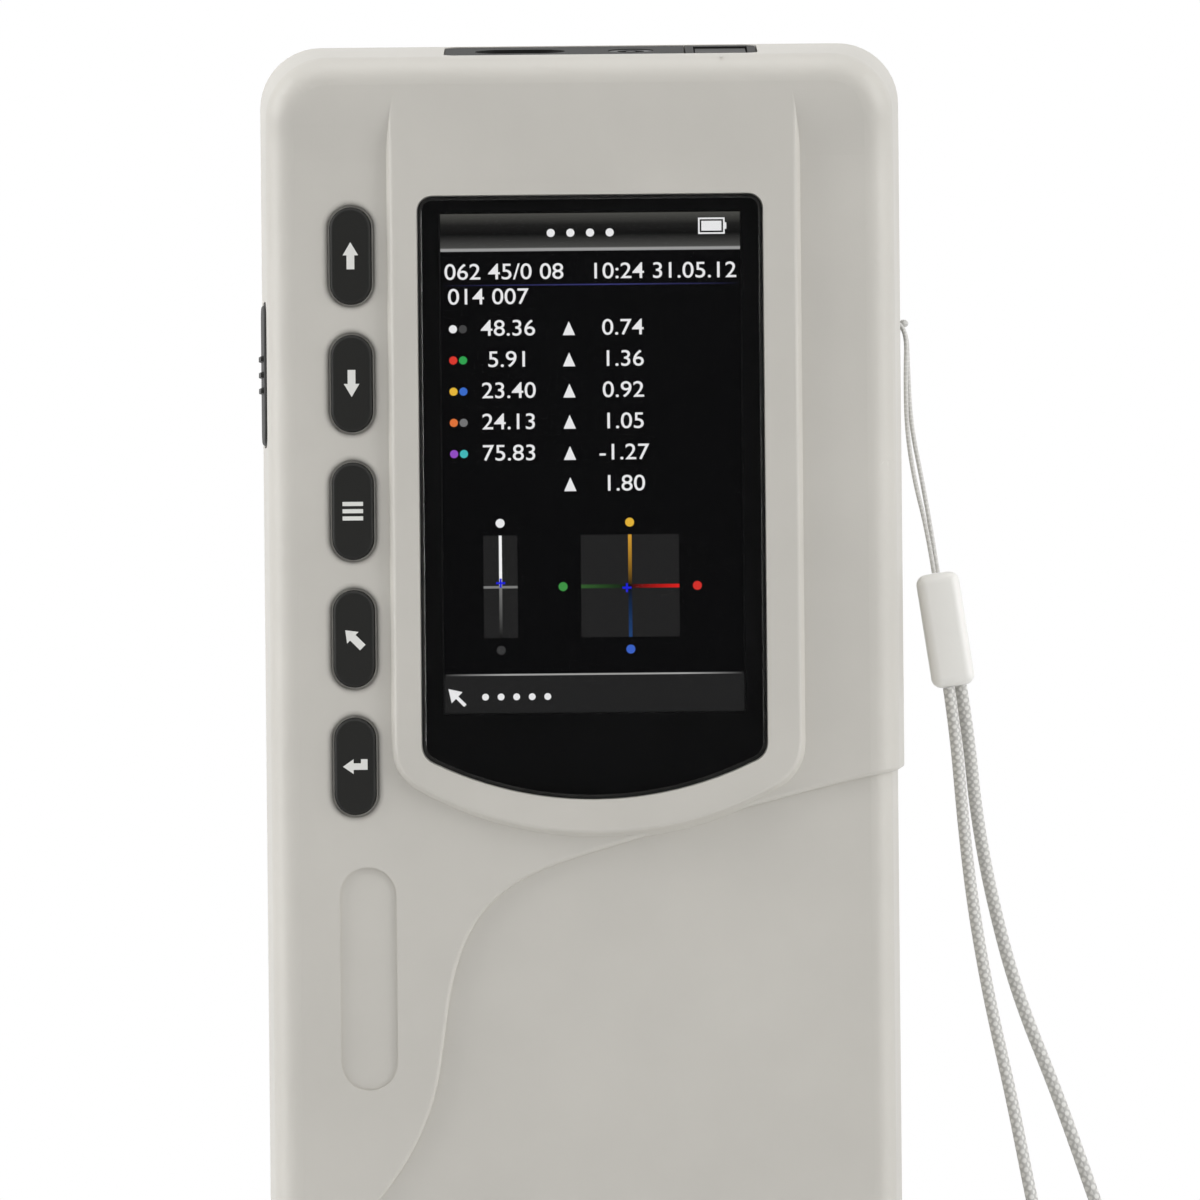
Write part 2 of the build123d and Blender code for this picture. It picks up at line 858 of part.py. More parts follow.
with BuildPart() as keypad_mat:
    mat_front_y = board_front_y - mat_thickness
    mat_z = (key_places[0] + key_places[-1]) / 2
    mat_length = key_places[0] - key_places[-1] + key_length + 2 * mat_margin
    with BuildSketch(front_plane(board_front_y)):
        with Locations((key_x, mat_z)):
            RectangleRounded(mat_width, mat_length, 1.5)
    extrude(amount=mat_thickness)
    for key_z in key_places:
        with BuildSketch(front_plane(mat_front_y)):
            with Locations((key_x, key_z)):
                Circle(dome_base_radius)
        with BuildSketch(front_plane(mat_front_y - dome_height)):
            with Locations((key_x, key_z)):
                Circle(dome_top_radius)
        loft()
keypad_mat.part.label = "keypad_mat"
export_step(keypad_mat.part, "parts/keypad_mat.step")

# Trigger and its switch

trigger_flange_depth = wall + seat_gap
switch_left_x = board_left_x + switch_board_inset
post_end_x = switch_left_x - switch_plunger_length - seat_gap - trigger_travel
with BuildPart() as trigger_button:
    with BuildSketch(trigger_plane.offset(-trigger_flange_depth)):
        RectangleRounded(
            trigger_width + 2 * trigger_flange_rim,
            trigger_height + 2 * trigger_flange_rim,
            trigger_corner_radius,
        )
    extrude(amount=-trigger_flange_thickness)
    with BuildSketch(trigger_plane.offset(-trigger_flange_depth)):
        RectangleRounded(trigger_width, trigger_height, trigger_corner_radius)
    extrude(amount=trigger_flange_depth + trigger_proud)
    outer = trigger_button.faces().sort_by(Axis.X)[0]
    fillet(outer.edges(), trigger_edge_radius)
    with BuildSketch(trigger_plane.offset(trigger_proud - trigger_rib_root)):
        with GridLocations(0, trigger_rib_pitch, 1, trigger_rib_count):
            SlotOverall(trigger_rib_length, trigger_rib_width)
    extrude(amount=trigger_rib_height + trigger_rib_root, taper=trigger_rib_draft)
    post_x = -half_width_at(trigger_y) + trigger_flange_depth + trigger_flange_thickness / 2
    with BuildSketch(Plane.YZ.offset(post_x)):
        with Locations((trigger_y, trigger_z)):
            Circle(trigger_post_radius)
    extrude(amount=post_end_x - post_x)
trigger_button.part.label = "trigger_button"
export_step(trigger_button.part, "parts/trigger_button.step")

with BuildPart() as trigger_switch:
    with Locations((switch_left_x, trigger_y, trigger_z)):
        Box(switch_length, switch_depth, switch_height, align=(Align.MIN, Align.CENTER, Align.CENTER))
    with BuildSketch(Plane.YZ.offset(switch_left_x)):
        with Locations((trigger_y, trigger_z)):
            Circle(switch_plunger_radius)
    extrude(amount=-switch_plunger_length)
trigger_switch.part.label = "trigger_switch"
export_step(trigger_switch.part, "parts/trigger_switch.step")

# Main board with what is soldered to it

board_x = (board_left_x + board_right_x) / 2
board_z = (board_bottom_z + board_top_z) / 2
with BuildPart() as main_board:
    with BuildSketch(front_plane(board_front_y)):
        with Locations((board_x, board_z)):
            RectangleRounded(board_right_x - board_left_x, board_top_z - board_bottom_z, board_corner_radius)
        with Locations(board_screw_places):
            Circle(board_screw_radius + 0.2, mode=Mode.SUBTRACT)
    extrude(amount=-board_thickness)
main_board.part.label = "main_board"
export_step(main_board.part, "parts/main_board.step")

with BuildPart() as board_chips:
    for x, z, width, height, depth in chip_places:
        with BuildSketch(front_plane(board_back_y)):
            with Locations((x, z)):
                Rectangle(width, height)
        extrude(amount=-depth)
board_chips.part.label = "board_chips"
export_step(board_chips.part, "parts/board_chips.step")

with BuildPart() as board_shield:
    with BuildSketch(front_plane(board_back_y)):
        with Locations(shield_place):
            RectangleRounded(shield_width, shield_height, 1)
    extrude(amount=-shield_depth)
    open_face = board_shield.faces().sort_by(Axis.Y)[0]
    offset(amount=-shield_sheet, openings=open_face)
board_shield.part.label = "board_shield"
export_step(board_shield.part, "parts/board_shield.step")

with BuildPart() as coin_cell:
    with BuildSketch(front_plane(board_back_y)):
        with Locations(coin_cell_place):
            Circle(coin_cell_radius)
    extrude(amount=-coin_cell_thickness)
    chamfer(coin_cell.faces().sort_by(Axis.Y)[-1].edges(), 0.4)
coin_cell.part.label = "coin_cell"
export_step(coin_cell.part, "parts/coin_cell.step")

with BuildPart() as buzzer:
    with BuildSketch(front_plane(board_back_y)):
        with Locations(buzzer_place):
            Circle(buzzer_radius)
    extrude(amount=-buzzer_thickness)
    with BuildSketch(front_plane(board_back_y + buzzer_thickness)):
        with Locations(buzzer_place):
            Circle(1)
    extrude(amount=1, mode=Mode.SUBTRACT)
buzzer.part.label = "buzzer"
export_step(buzzer.part, "parts/buzzer.step")

with BuildPart() as board_connectors:
    for x, z, width in plug_places:
        with BuildSketch(front_plane(board_back_y)):
            with Locations((x, z)):
                Rectangle(width, plug_height)
        extrude(amount=-plug_depth)
        with BuildSketch(front_plane(board_back_y + plug_depth)):
            with Locations((x, z)):
                Rectangle(width - 1.6, plug_height - 2.4)
        extrude(amount=2, mode=Mode.SUBTRACT)
    with BuildSketch(front_plane(board_front_y)):
        with Locations(flex_plug_place):
            Rectangle(flex_plug_width, plug_height)
    extrude(amount=flex_plug_depth)
board_connectors.part.label = "board_connectors"
export_step(board_connectors.part, "parts/board_connectors.step")

with BuildPart() as display_flex:
    lcd_bottom_z = lcd_z - lcd_height / 2
    plug_top_z = flex_plug_place[1] + plug_height / 2
    plug_y = board_front_y - flex_plug_depth / 2
    with BuildSketch(Plane.YZ.offset(window_x)):
        with BuildLine():
            FilletPolyline(
                (lcd_front_y + lcd_thickness / 2, lcd_bottom_z),
                (lcd_front_y + lcd_thickness / 2, lcd_bottom_z - 2.5),
                (plug_y, plug_top_z + 2.5),
                (plug_y, plug_top_z),
                radius=1.2,
            )
        trace(line_width=flex_thickness)
    extrude(amount=display_flex_width / 2, both=True)
display_flex.part.label = "display_flex"
export_step(display_flex.part, "parts/display_flex.step")

# Connector panel, sockets and power rocker, all square to the sloped top

with BuildPart() as connector_panel:
    with BuildSketch(top_plane.offset(-panel_recess)):
        with Locations(((panel_left_x + panel_right_x) / 2, 0)):
            Rectangle(panel_right_x - panel_left_x, panel_depth)
        with Locations((usb_x, 0)):
            SlotOverall(usb_recess_length, usb_recess_width, mode=Mode.SUBTRACT)
        with Locations((jack_x, 0)):
            Circle(jack_barrel_radius + 0.1, mode=Mode.SUBTRACT)
    extrude(amount=-panel_thickness)
    fillet(connector_panel.edges().filter_by(
        lambda edge: edge.center().X < panel_left_x + 0.1 and edge.length < panel_thickness + 0.1
    ), panel_corner_radius)
connector_panel.part.label = "connector_panel"
export_step(connector_panel.part, "parts/connector_panel.step")

with BuildPart() as usb_port:
    with BuildSketch(top_plane.offset(-port_depth)):
        with Locations((usb_x, 0)):
            RectangleRounded(usb_width, usb_height, 0.8)
    extrude(amount=port_depth - 0.5)
    with BuildSketch(top_plane.offset(-0.5)):
        with Locations((usb_x, 0)):
            RectangleRounded(usb_width - 2 * usb_sheet, usb_height - 2 * usb_sheet, 0.5)
            Rectangle(usb_width - 2.2, 0.9, mode=Mode.SUBTRACT)
    extrude(amount=-5, mode=Mode.SUBTRACT)
usb_port.part.label = "usb_port"
export_step(usb_port.part, "parts/usb_port.step")

with BuildPart() as dc_jack:
    with BuildSketch(top_plane.offset(-port_depth)):
        with Locations((jack_x, 0)):
            Rectangle(jack_body, jack_body)
    extrude(amount=port_depth - wall - 0.3)
    with BuildSketch(top_plane.offset(-wall - 0.3)):
        with Locations((jack_x, 0)):
            Circle(jack_barrel_radius)
    extrude(amount=wall + 0.1)
    with BuildSketch(top_plane.offset(-0.2)):
        with Locations((jack_x, 0)):
            Circle(jack_bore_radius)
            Circle(jack_pin_radius, mode=Mode.SUBTRACT)
    extrude(amount=-6, mode=Mode.SUBTRACT)
dc_jack.part.label = "dc_jack"
export_step(dc_jack.part, "parts/dc_jack.step")

with BuildPart() as connector_board:
    with BuildSketch(top_plane.offset(-port_depth)):
        with Locations((panel_middle_x, 0)):
            Rectangle(panel_end_x - panel_left_x, connector_board_depth)
    extrude(amount=-connector_board_thickness)
connector_board.part.label = "connector_board"
export_step(connector_board.part, "parts/connector_board.step")

rocker_plane = Plane(top_plane.from_local_coords((rocker_x, 0, 0)), x_dir=(1, 0, 0), z_dir=top_plane.z_dir)
frame_inner_width = rocker_width + 2 * rocker_side_gap
frame_inner_length = 2 * (rocker_half_length + rocker_end_gap)
with BuildPart() as rocker_frame:
    with BuildSketch(rocker_plane.offset(-panel_recess)) as rim:
        Rectangle(frame_width, panel_depth)
        fillet(rim.vertices().group_by(Axis.X)[-1], panel_corner_radius)
    extrude(amount=-panel_thickness)
    with BuildSketch(rocker_plane.offset(-panel_thickness)):
        Rectangle(frame_inner_width + 2 * frame_wall, frame_inner_length + 2 * frame_wall)
    extrude(amount=-(port_depth - panel_thickness))
    with BuildSketch(rocker_plane):
        Rectangle(frame_inner_width, frame_inner_length)
    extrude(amount=-frame_floor_depth, mode=Mode.SUBTRACT)
    pin_plane = Plane(rocker_plane.from_local_coords((0, 0, -rocker_pivot_depth)), z_dir=(1, 0, 0))
    with BuildSketch(pin_plane):
        Circle(rocker_pin_radius + rocker_pin_clearance)
    extrude(amount=frame_inner_width / 2 + frame_wall, both=True, mode=Mode.SUBTRACT)
rocker_frame.part.label = "rocker_frame"
export_step(rocker_frame.part, "parts/rocker_frame.step")

tilted_plane = Plane(
    rocker_plane.from_local_coords((0, 0, -rocker_pivot_depth)),
    x_dir=(0, cos(slope - radians(rocker_tilt)), sin(slope - radians(rocker_tilt))),
    z_dir=(1, 0, 0),
)
with BuildPart() as power_rocker:
    with BuildSketch(tilted_plane):
        with BuildLine():
            Polyline(
                (-rocker_half_length, 0),
                (-rocker_half_length, rocker_pivot_depth + rocker_end_height),
                (0, rocker_pivot_depth + rocker_middle_height),
                (rocker_half_length, rocker_pivot_depth + rocker_end_height),
                (rocker_half_length, 0),
                (rocker_half_length / 2, rocker_pivot_depth - rocker_floor_depth),
                (-rocker_half_length / 2, rocker_pivot_depth - rocker_floor_depth),
                (-rocker_half_length, 0),
            )
        make_face()
    extrude(amount=rocker_width / 2, both=True)
    with BuildSketch(tilted_plane):
        Circle(rocker_pin_radius)
    extrude(amount=rocker_width / 2 + rocker_pin_reach, both=True)
power_rocker.part.label = "power_rocker"
export_step(power_rocker.part, "parts/power_rocker.step")
print("rocker pivot", pin_plane.origin)
print("rocker", power_rocker.part.bounding_box())

# Battery compartment

with BuildPart() as battery_door:
    with BuildSketch(front_plane(back_y)):
        with Locations((0, door_z)):
            RectangleRounded(door_width - 2 * door_gap, door_height - 2 * door_gap, door_corner_radius)
    extrude(amount=wall)
    chamfer(battery_door.faces().sort_by(Axis.Y)[-1].edges(), 0.3)
    with BuildSketch(front_plane(back_y)):
        with Locations((0, door_top_z - 2 * door_grip_length)):
            SlotOverall(door_grip_width, door_grip_length)
    extrude(amount=door_grip_depth, mode=Mode.SUBTRACT)
    for side in (-1, 1):
        tab_top_z = door_bottom_z + tab_root
        with BuildSketch(Plane.YZ.offset(side * tab_x)):
            with BuildLine():
                Polyline(
                    (inner_back_y + 0.1, tab_top_z),
                    (tab_y, tab_top_z),
                    (tab_y, door_bottom_z - tab_reach),
                    (tab_y + tab_thickness, door_bottom_z - tab_reach),
                    (tab_y + tab_thickness, door_bottom_z + door_gap + 0.3),
                    (inner_back_y + 0.1, door_bottom_z + door_gap + 0.3),
                    (inner_back_y + 0.1, tab_top_z),
                )
            make_face()
        extrude(amount=tab_width / 2, both=True)
battery_door.part.label = "battery_door"
export_step(battery_door.part, "parts/battery_door.step")

tray_width = door_width + 0.6
tray_height = door_height + 2 * tray_margin_z
with BuildPart() as battery_tray:
    with BuildSketch(front_plane(inner_back_y)):
        with Locations((0, door_z)):
            RectangleRounded(
                tray_width + 2 * tray_wall + 2 * tray_flange,
                tray_height + 2 * tray_wall + 2 * tray_flange,
                door_corner_radius,
            )
    extrude(amount=tray_flange_thickness)
    with BuildSketch(front_plane(inner_back_y)):
        with Locations((0, door_z)):
            RectangleRounded(tray_width + 2 * tray_wall, tray_height + 2 * tray_wall, door_corner_radius)
    extrude(amount=inner_back_y - tray_floor_y)
    with BuildSketch(front_plane(inner_back_y)):
        with Locations((0, door_z)):
            RectangleRounded(tray_width, tray_height, door_corner_radius - tray_wall)
    extrude(amount=inner_back_y - tray_floor_y - tray_wall, mode=Mode.SUBTRACT)
battery_tray.part.label = "battery_tray"
export_step(battery_tray.part, "parts/battery_tray.step")

battery_front_y = tray_floor_y + tray_wall + seat_gap
with BuildPart() as battery_pack:
    with BuildSketch(front_plane(battery_front_y)):
        with Locations((0, battery_z)):
            RectangleRounded(battery_width, battery_height, 3)
    extrude(amount=-battery_thickness)
    fillet(battery_pack.faces().sort_by(Axis.Y)[-1].edges(), 1.5)
battery_pack.part.label = "battery_pack"
export_step(battery_pack.part, "parts/battery_pack.step")

tray_bottom_z = door_z - tray_height / 2
battery_bottom_z = battery_z - battery_height / 2
with BuildPart() as battery_contacts:
    contact_y = battery_front_y + battery_thickness / 2
    for n in range(contact_count):
        x = (n - (contact_count - 1) / 2) * contact_pitch
        with BuildSketch(Plane.YZ.offset(x)):
            with BuildLine():
                FilletPolyline(
                    (contact_y - 3, tray_bottom_z + contact_sheet / 2),
                    (contact_y + 3, tray_bottom_z + contact_sheet / 2),
                    (contact_y, battery_bottom_z - seat_gap - contact_sheet),
                    (contact_y - 3, tray_bottom_z + 1.5),
                    radius=0.6,
                )
            trace(line_width=contact_sheet)
        extrude(amount=contact_width / 2, both=True)
battery_contacts.part.label = "battery_contacts"
export_step(battery_contacts.part, "parts/battery_contacts.step")

# Measuring base

with BuildPart() as base_foot:
    with BuildSketch(Plane.XY.offset(flange_bottom_z)):
        RectangleRounded(base_width, base_depth, base_corner_radius)
    extrude(amount=foot_top_z - flange_bottom_z)
    fillet(base_foot.faces().sort_by(Axis.Z)[-1].edges(), foot_edge_radius)
    with BuildSketch(Plane.XY.offset(spigot_bottom_z)):
        RectangleRounded(
            base_width - 2 * spigot_inset,
            base_depth - 2 * spigot_inset,
            base_corner_radius - spigot_inset,
        )
    extrude(amount=flange_bottom_z - spigot_bottom_z)
    with BuildSketch(Plane.XY.offset(flange_bottom_z)):
        RectangleRounded(
            base_width - 2 * foot_wall,
            base_depth - 2 * foot_wall,
            base_corner_radius - foot_wall,
        )
    extrude(amount=foot_top_z, mode=Mode.SUBTRACT)
    with BuildSketch(Plane.XY.offset(flange_bottom_z)):
        with Locations(base_screw_places):
            Circle(base_boss_radius)
    extrude(amount=body_bottom - flange_bottom_z)
    with BuildSketch(Plane.XY.offset(spigot_bottom_z)):
        with Locations(base_screw_places):
            Circle(base_screw_radius + 0.15)
    extrude(amount=body_bottom, mode=Mode.SUBTRACT)
    with BuildSketch(Plane.XY.offset(spigot_bottom_z)):
        with Locations(base_screw_places):
            Circle(base_head_radius + 0.2)
    extrude(amount=base_head_height + 0.2, mode=Mode.SUBTRACT)
    with BuildSketch(Plane.XY.offset(spigot_bottom_z)):
        Circle(aperture_plate_radius + fit_clearance)
    extrude(amount=aperture_plate_thickness - aperture_plate_proud, mode=Mode.SUBTRACT)
    with BuildSketch(Plane.XY.offset(spigot_bottom_z)):
        Circle(foot_hole_radius)
    extrude(amount=foot_top_z, mode=Mode.SUBTRACT)
    with BuildSketch(Plane.XY.offset(flange_bottom_z)):
        with Locations((0, -base_depth / 2), (0, base_depth / 2), (-base_width / 2, 0), (base_width / 2, 0)):
            Rectangle(notch_width * 0.707, notch_width * 0.707, rotation=45)
    extrude(amount=foot_top_z - flange_bottom_z, mode=Mode.SUBTRACT)
base_foot.part.label = "base_foot"
export_step(base_foot.part, "parts/base_foot.step")

with BuildPart() as base_seal:
    with BuildSketch(Plane.XY.offset(foot_top_z)):
        with BuildLine():
            low_y = channel_y + step_depth
            Polyline(
                (-half_width_at(low_y) + step_depth + seal_inset + 1, low_y + seal_inset),
                (half_width_at(low_y) - step_depth - seal_inset - 1, low_y + seal_inset),
                (half_width_at(parting_y) - step_depth - seal_inset, parting_y),
                (half_width_at(flare_y) - step_depth - seal_inset, flare_y - seal_inset),
                (-half_width_at(flare_y) + step_depth + seal_inset, flare_y - seal_inset),
                (-half_width_at(parting_y) + step_depth + seal_inset, parting_y),
                (-half_width_at(low_y) + step_depth + seal_inset + 1, low_y + seal_inset),
            )
        make_face()
        offset(amount=-seal_width, mode=Mode.SUBTRACT)
    extrude(amount=body_bottom - foot_top_z)
    with BuildSketch(Plane.XY.offset(foot_top_z)):
        with Locations(base_screw_places):
            Circle(base_boss_radius + seat_gap)
    extrude(amount=body_bottom - foot_top_z, mode=Mode.SUBTRACT)
base_seal.part.label = "base_seal"
export_step(base_seal.part, "parts/base_seal.step")

with BuildPart() as aperture_plate:
    plate_bottom_z = spigot_bottom_z - aperture_plate_proud
    with BuildSketch(Plane.XY.offset(plate_bottom_z)):
        Circle(aperture_plate_radius)
    extrude(amount=aperture_plate_thickness)
    with BuildSketch(Plane.XY.offset(plate_bottom_z)):
        Circle(aperture_radius)
    with BuildSketch(Plane.XY.offset(plate_bottom_z + aperture_plate_thickness)):
        Circle(aperture_cone_radius)
    loft(mode=Mode.SUBTRACT)
    chamfer(aperture_plate.edges().group_by(Axis.Z)[0].sort_by(SortBy.LENGTH)[-1], 0.3)
aperture_plate.part.label = "aperture_plate"
export_step(aperture_plate.part, "parts/aperture_plate.step")

# Calibration cap with its white tile

with BuildPart() as calibration_cap:
    with BuildSketch(Plane.XY.offset(grip_thickness)):
        RectangleRounded(base_width, base_depth, base_corner_radius)
    extrude(amount=cap_top_z - grip_thickness)
    chamfer(calibration_cap.faces().sort_by(Axis.Z)[0].edges(), 1.0)
    cavity_inset = spigot_inset - cap_clearance
    with BuildSketch(Plane.XY.offset(cap_floor_z)):
        RectangleRounded(
            base_width - 2 * cavity_inset,
            base_depth - 2 * cavity_inset,
            base_corner_radius - cavity_inset,
        )
    extrude(amount=cap_top_z, mode=Mode.SUBTRACT)
    with BuildSketch(Plane.XY.offset(cap_floor_z)):
        Circle(tile_radius + tile_ring_wall)
    extrude(amount=tile_ring_top_z - cap_floor_z)
    tile_top_z = plate_bottom_z - tile_gap
    tile_bottom_z = tile_top_z - tile_thickness
    tile_seat_z = tile_bottom_z - tile_seat_thickness
    with BuildSketch(Plane.XY.offset(tile_seat_z)):
        Circle(tile_radius + tile_clearance)
    extrude(amount=cap_top_z, mode=Mode.SUBTRACT)
    for side in (-1, 1):
        scallop_x = side * (base_width / 2 + cap_scallop_radius - cap_scallop_depth)
        with BuildSketch(Plane.XY.offset(grip_thickness)):
            with Locations((scallop_x, 0)):
                Circle(cap_scallop_radius)
        extrude(amount=cap_top_z, mode=Mode.SUBTRACT)
calibration_cap.part.label = "calibration_cap"
export_step(calibration_cap.part, "parts/calibration_cap.step")

with BuildPart() as tile_seat:
    with BuildSketch(Plane.XY.offset(tile_seat_z)):
        Circle(tile_radius)
    extrude(amount=tile_seat_thickness)
tile_seat.part.label = "tile_seat"
export_step(tile_seat.part, "parts/tile_seat.step")

with BuildPart() as white_tile:
    with BuildSketch(Plane.XY.offset(tile_bottom_z)):
        Circle(tile_radius)
    extrude(amount=tile_thickness)
    chamfer(white_tile.edges().filter_by(GeomType.CIRCLE), 0.3)
white_tile.part.label = "white_tile"
export_step(white_tile.part, "parts/white_tile.step")

with BuildPart() as cap_grip:
    with BuildSketch():
        RectangleRounded(base_width - 2 * grip_inset, base_depth - 2 * grip_inset, grip_corner_radius)
    extrude(amount=grip_thickness)
    chamfer(cap_grip.faces().sort_by(Axis.Z)[0].edges(), 0.4)
    with BuildSketch():
        with GridLocations(grip_groove_pitch, 0, grip_groove_count, 1):
            SlotOverall(base_depth - 4 * grip_inset, grip_groove_width, rotation=90)
    extrude(amount=grip_groove_depth, mode=Mode.SUBTRACT)
cap_grip.part.label = "cap_grip"
export_step(cap_grip.part, "parts/cap_grip.step")

# Optical head: revolved pieces on the measuring axis

with BuildPart() as optics_housing:
    seat_z = lamp_board_z + lamp_board_thickness
    with BuildSketch(Plane.XZ):
        with BuildLine():
            Polyline(
                (chamber_radius - head_wall, flange_bottom_z),
                (head_flange_radius, flange_bottom_z),
                (head_flange_radius, flange_bottom_z + head_flange_thickness),
                (chamber_radius, flange_bottom_z + head_flange_thickness),
                (chamber_radius, chamber_top_z),
                (neck_radius, neck_bottom_z),
                (neck_radius, neck_top_z),
                (neck_bore_radius, neck_top_z),
                (neck_bore_radius, neck_bottom_z - 2),
                (chamber_radius - 2 * head_wall, chamber_top_z - 1),
                (chamber_radius - 2 * head_wall, seat_z),
                (chamber_radius - head_wall, seat_z),
                (chamber_radius - head_wall, flange_bottom_z),
            )
        make_face()
    revolve(axis=Axis.Z)
    with BuildSketch(Plane.XY.offset(flange_bottom_z)):
        with PolarLocations(head_screw_circle, head_screw_count, start_angle=30):
            Circle(head_screw_radius + screw_clearance)
    extrude(amount=head_flange_thickness, mode=Mode.SUBTRACT)
optics_housing.part.label = "optics_housing"
export_step(optics_housing.part, "parts/optics_housing.step")

with BuildPart() as illumination_board:
    with BuildSketch(Plane.XY.offset(lamp_board_z)):
        Circle(lamp_board_radius)
        Circle(lamp_board_bore, mode=Mode.SUBTRACT)
    extrude(amount=lamp_board_thickness)
illumination_board.part.label = "illumination_board"
export_step(illumination_board.part, "parts/illumination_board.step")

lamp_drop = (lamp_radius + lamp_length / 2) * cos(radians(45))
lamp_z = lamp_board_z - seat_gap - lamp_drop
with BuildPart() as leds:
    for n in range(lamp_count):
        turn = radians(360 / lamp_count * n)
        inward = Vector(-cos(turn), -sin(turn), -1)
        place = Vector(lamp_ring_radius * cos(turn), lamp_ring_radius * sin(turn), lamp_z)
        with BuildSketch(Plane(place, z_dir=inward)):
            Circle(lamp_radius)
        extrude(amount=lamp_length / 2, both=True)
leds.part.label = "leds"
export_step(leds.part, "parts/leds.step")

with BuildPart() as light_baffle:
    with BuildSketch(Plane.XZ):
        with BuildLine():
            cup_floor_z = seat_z + baffle_flange_thickness
            Polyline(
                (baffle_bore, baffle_bottom_z),
                (baffle_radius, baffle_bottom_z),
                (baffle_radius, seat_z),
                (baffle_flange_radius, seat_z),
                (baffle_flange_radius, cup_floor_z),
                (lens_radius + fit_clearance + lens_cup_wall, cup_floor_z),
                (lens_radius + fit_clearance + lens_cup_wall, lens_cup_top_z),
                (lens_radius + fit_clearance, lens_cup_top_z),
                (lens_radius + fit_clearance, cup_floor_z + 1),
                (baffle_bore, cup_floor_z + 1),
                (baffle_bore, baffle_bottom_z),
            )
        make_face()
    revolve(axis=Axis.Z)
light_baffle.part.label = "light_baffle"
export_step(light_baffle.part, "parts/light_baffle.step")

with BuildPart() as front_lens:
    lens_bottom_z = cup_floor_z + 1
    lens_shoulder_z = lens_bottom_z + lens_edge
    with BuildSketch(Plane.XZ):
        with BuildLine():
            Polyline((0, lens_bottom_z), (lens_radius, lens_bottom_z), (lens_radius, lens_shoulder_z))
            crown = TangentArc(
                (0, lens_shoulder_z + lens_crown),
                (lens_radius, lens_shoulder_z),
                tangent=(1, 0),
            )
            Line(crown @ 0, (0, lens_bottom_z))
        make_face()
    revolve(axis=Axis.Z)
front_lens.part.label = "front_lens"
export_step(front_lens.part, "parts/front_lens.step")

with BuildPart() as lens_retainer:
    retainer_z = lens_cup_top_z - retainer_height
    with BuildSketch(Plane.XY.offset(retainer_z)):
        Circle(lens_radius)
        Circle(retainer_bore, mode=Mode.SUBTRACT)
    extrude(amount=retainer_height)
lens_retainer.part.label = "lens_retainer"
export_step(lens_retainer.part, "parts/lens_retainer.step")

with BuildPart() as sensor_board:
    with BuildSketch(Plane.XY.offset(neck_top_z)):
        Circle(sensor_board_radius)
    extrude(amount=sensor_board_thickness)
sensor_board.part.label = "sensor_board"
export_step(sensor_board.part, "parts/sensor_board.step")

with BuildPart() as sensor_chip:
    with BuildSketch(Plane.XY.offset(neck_top_z - sensor_chip_thickness)):
        RectangleRounded(sensor_chip_size, sensor_chip_size, 0.4)
    extrude(amount=sensor_chip_thickness)
sensor_chip.part.label = "sensor_chip"
export_step(sensor_chip.part, "parts/sensor_chip.step")

with BuildPart() as sensor_shield:
    shield_z = neck_top_z + sensor_board_thickness
    with BuildSketch(Plane.XY.offset(shield_z)):
        Circle(sensor_shield_radius)
    extrude(amount=sensor_shield_height)
    offset(amount=-sensor_shield_sheet, openings=sensor_shield.faces().sort_by(Axis.Z)[0])
sensor_shield.part.label = "sensor_shield"
export_step(sensor_shield.part, "parts/sensor_shield.step")

with BuildPart() as sensor_flex:
    flex_z = shield_z + flex_thickness / 2
    low_plug_z = plug_places[0][1] - plug_height / 2
    low_plug_y = board_back_y + plug_depth / 2
    with BuildSketch(Plane.YZ):
        with BuildLine():
            FilletPolyline(
                (-sensor_shield_radius - seat_gap, flex_z),
                (-sensor_board_radius - 4, flex_z),
                (low_plug_y, low_plug_z - 4),
                (low_plug_y, low_plug_z),
                radius=1.5,
            )
        trace(line_width=flex_thickness)
    extrude(amount=sensor_flex_width / 2, both=True)
sensor_flex.part.label = "sensor_flex"
export_step(sensor_flex.part, "parts/sensor_flex.step")

# Screws, each kind one group


def screw_heads_and_shanks(base_plane, places, head_radius, head_height, shank_radius, shank_length):
    """Heads stand on the plane along its normal, shanks go the other way."""
    with BuildPart() as screws:
        with BuildSketch(base_plane):
            with Locations(places):
                Circle(head_radius)
        extrude(amount=head_height)
        with BuildSketch(base_plane):
            with Locations(places):
                Circle(shank_radius)
        extrude(amount=-shank_length)
    return screws.part


back_facing = Plane(origin=(0, 0, 0), x_dir=(-1, 0, 0), z_dir=(0, 1, 0))
down_facing = Plane(origin=(0, 0, 0), x_dir=(-1, 0, 0), z_dir=(0, 0, -1))

with BuildPart() as case_screws:
    add(screw_heads_and_shanks(
        back_facing.offset(parting_y + case_boss_floor),
        [(-x, z) for x, z in case_screw_places],
        case_head_radius,
        case_head_height,
        case_screw_radius,
        case_screw_length,
    ))
case_screws.part.label = "case_screws"
export_step(case_screws.part, "parts/case_screws.step")

with BuildPart() as board_screws:
    add(screw_heads_and_shanks(
        back_facing.offset(board_back_y),
        [(-x, z) for x, z in board_screw_places],
        2 * board_screw_radius,
        board_screw_radius,
        board_screw_radius,
        board_screw_length - 0.3,
    ))
board_screws.part.label = "board_screws"
export_step(board_screws.part, "parts/board_screws.step")

with BuildPart() as base_screws:
    add(screw_heads_and_shanks(
        down_facing.offset(-(spigot_bottom_z + base_head_height + 0.2)),
        [(-x, y) for x, y in base_screw_places],
        base_head_radius,
        base_head_height,
        base_screw_radius,
        base_screw_top_z - spigot_bottom_z - base_head_height,
    ))
base_screws.part.label = "base_screws"
export_step(base_screws.part, "parts/base_screws.step")

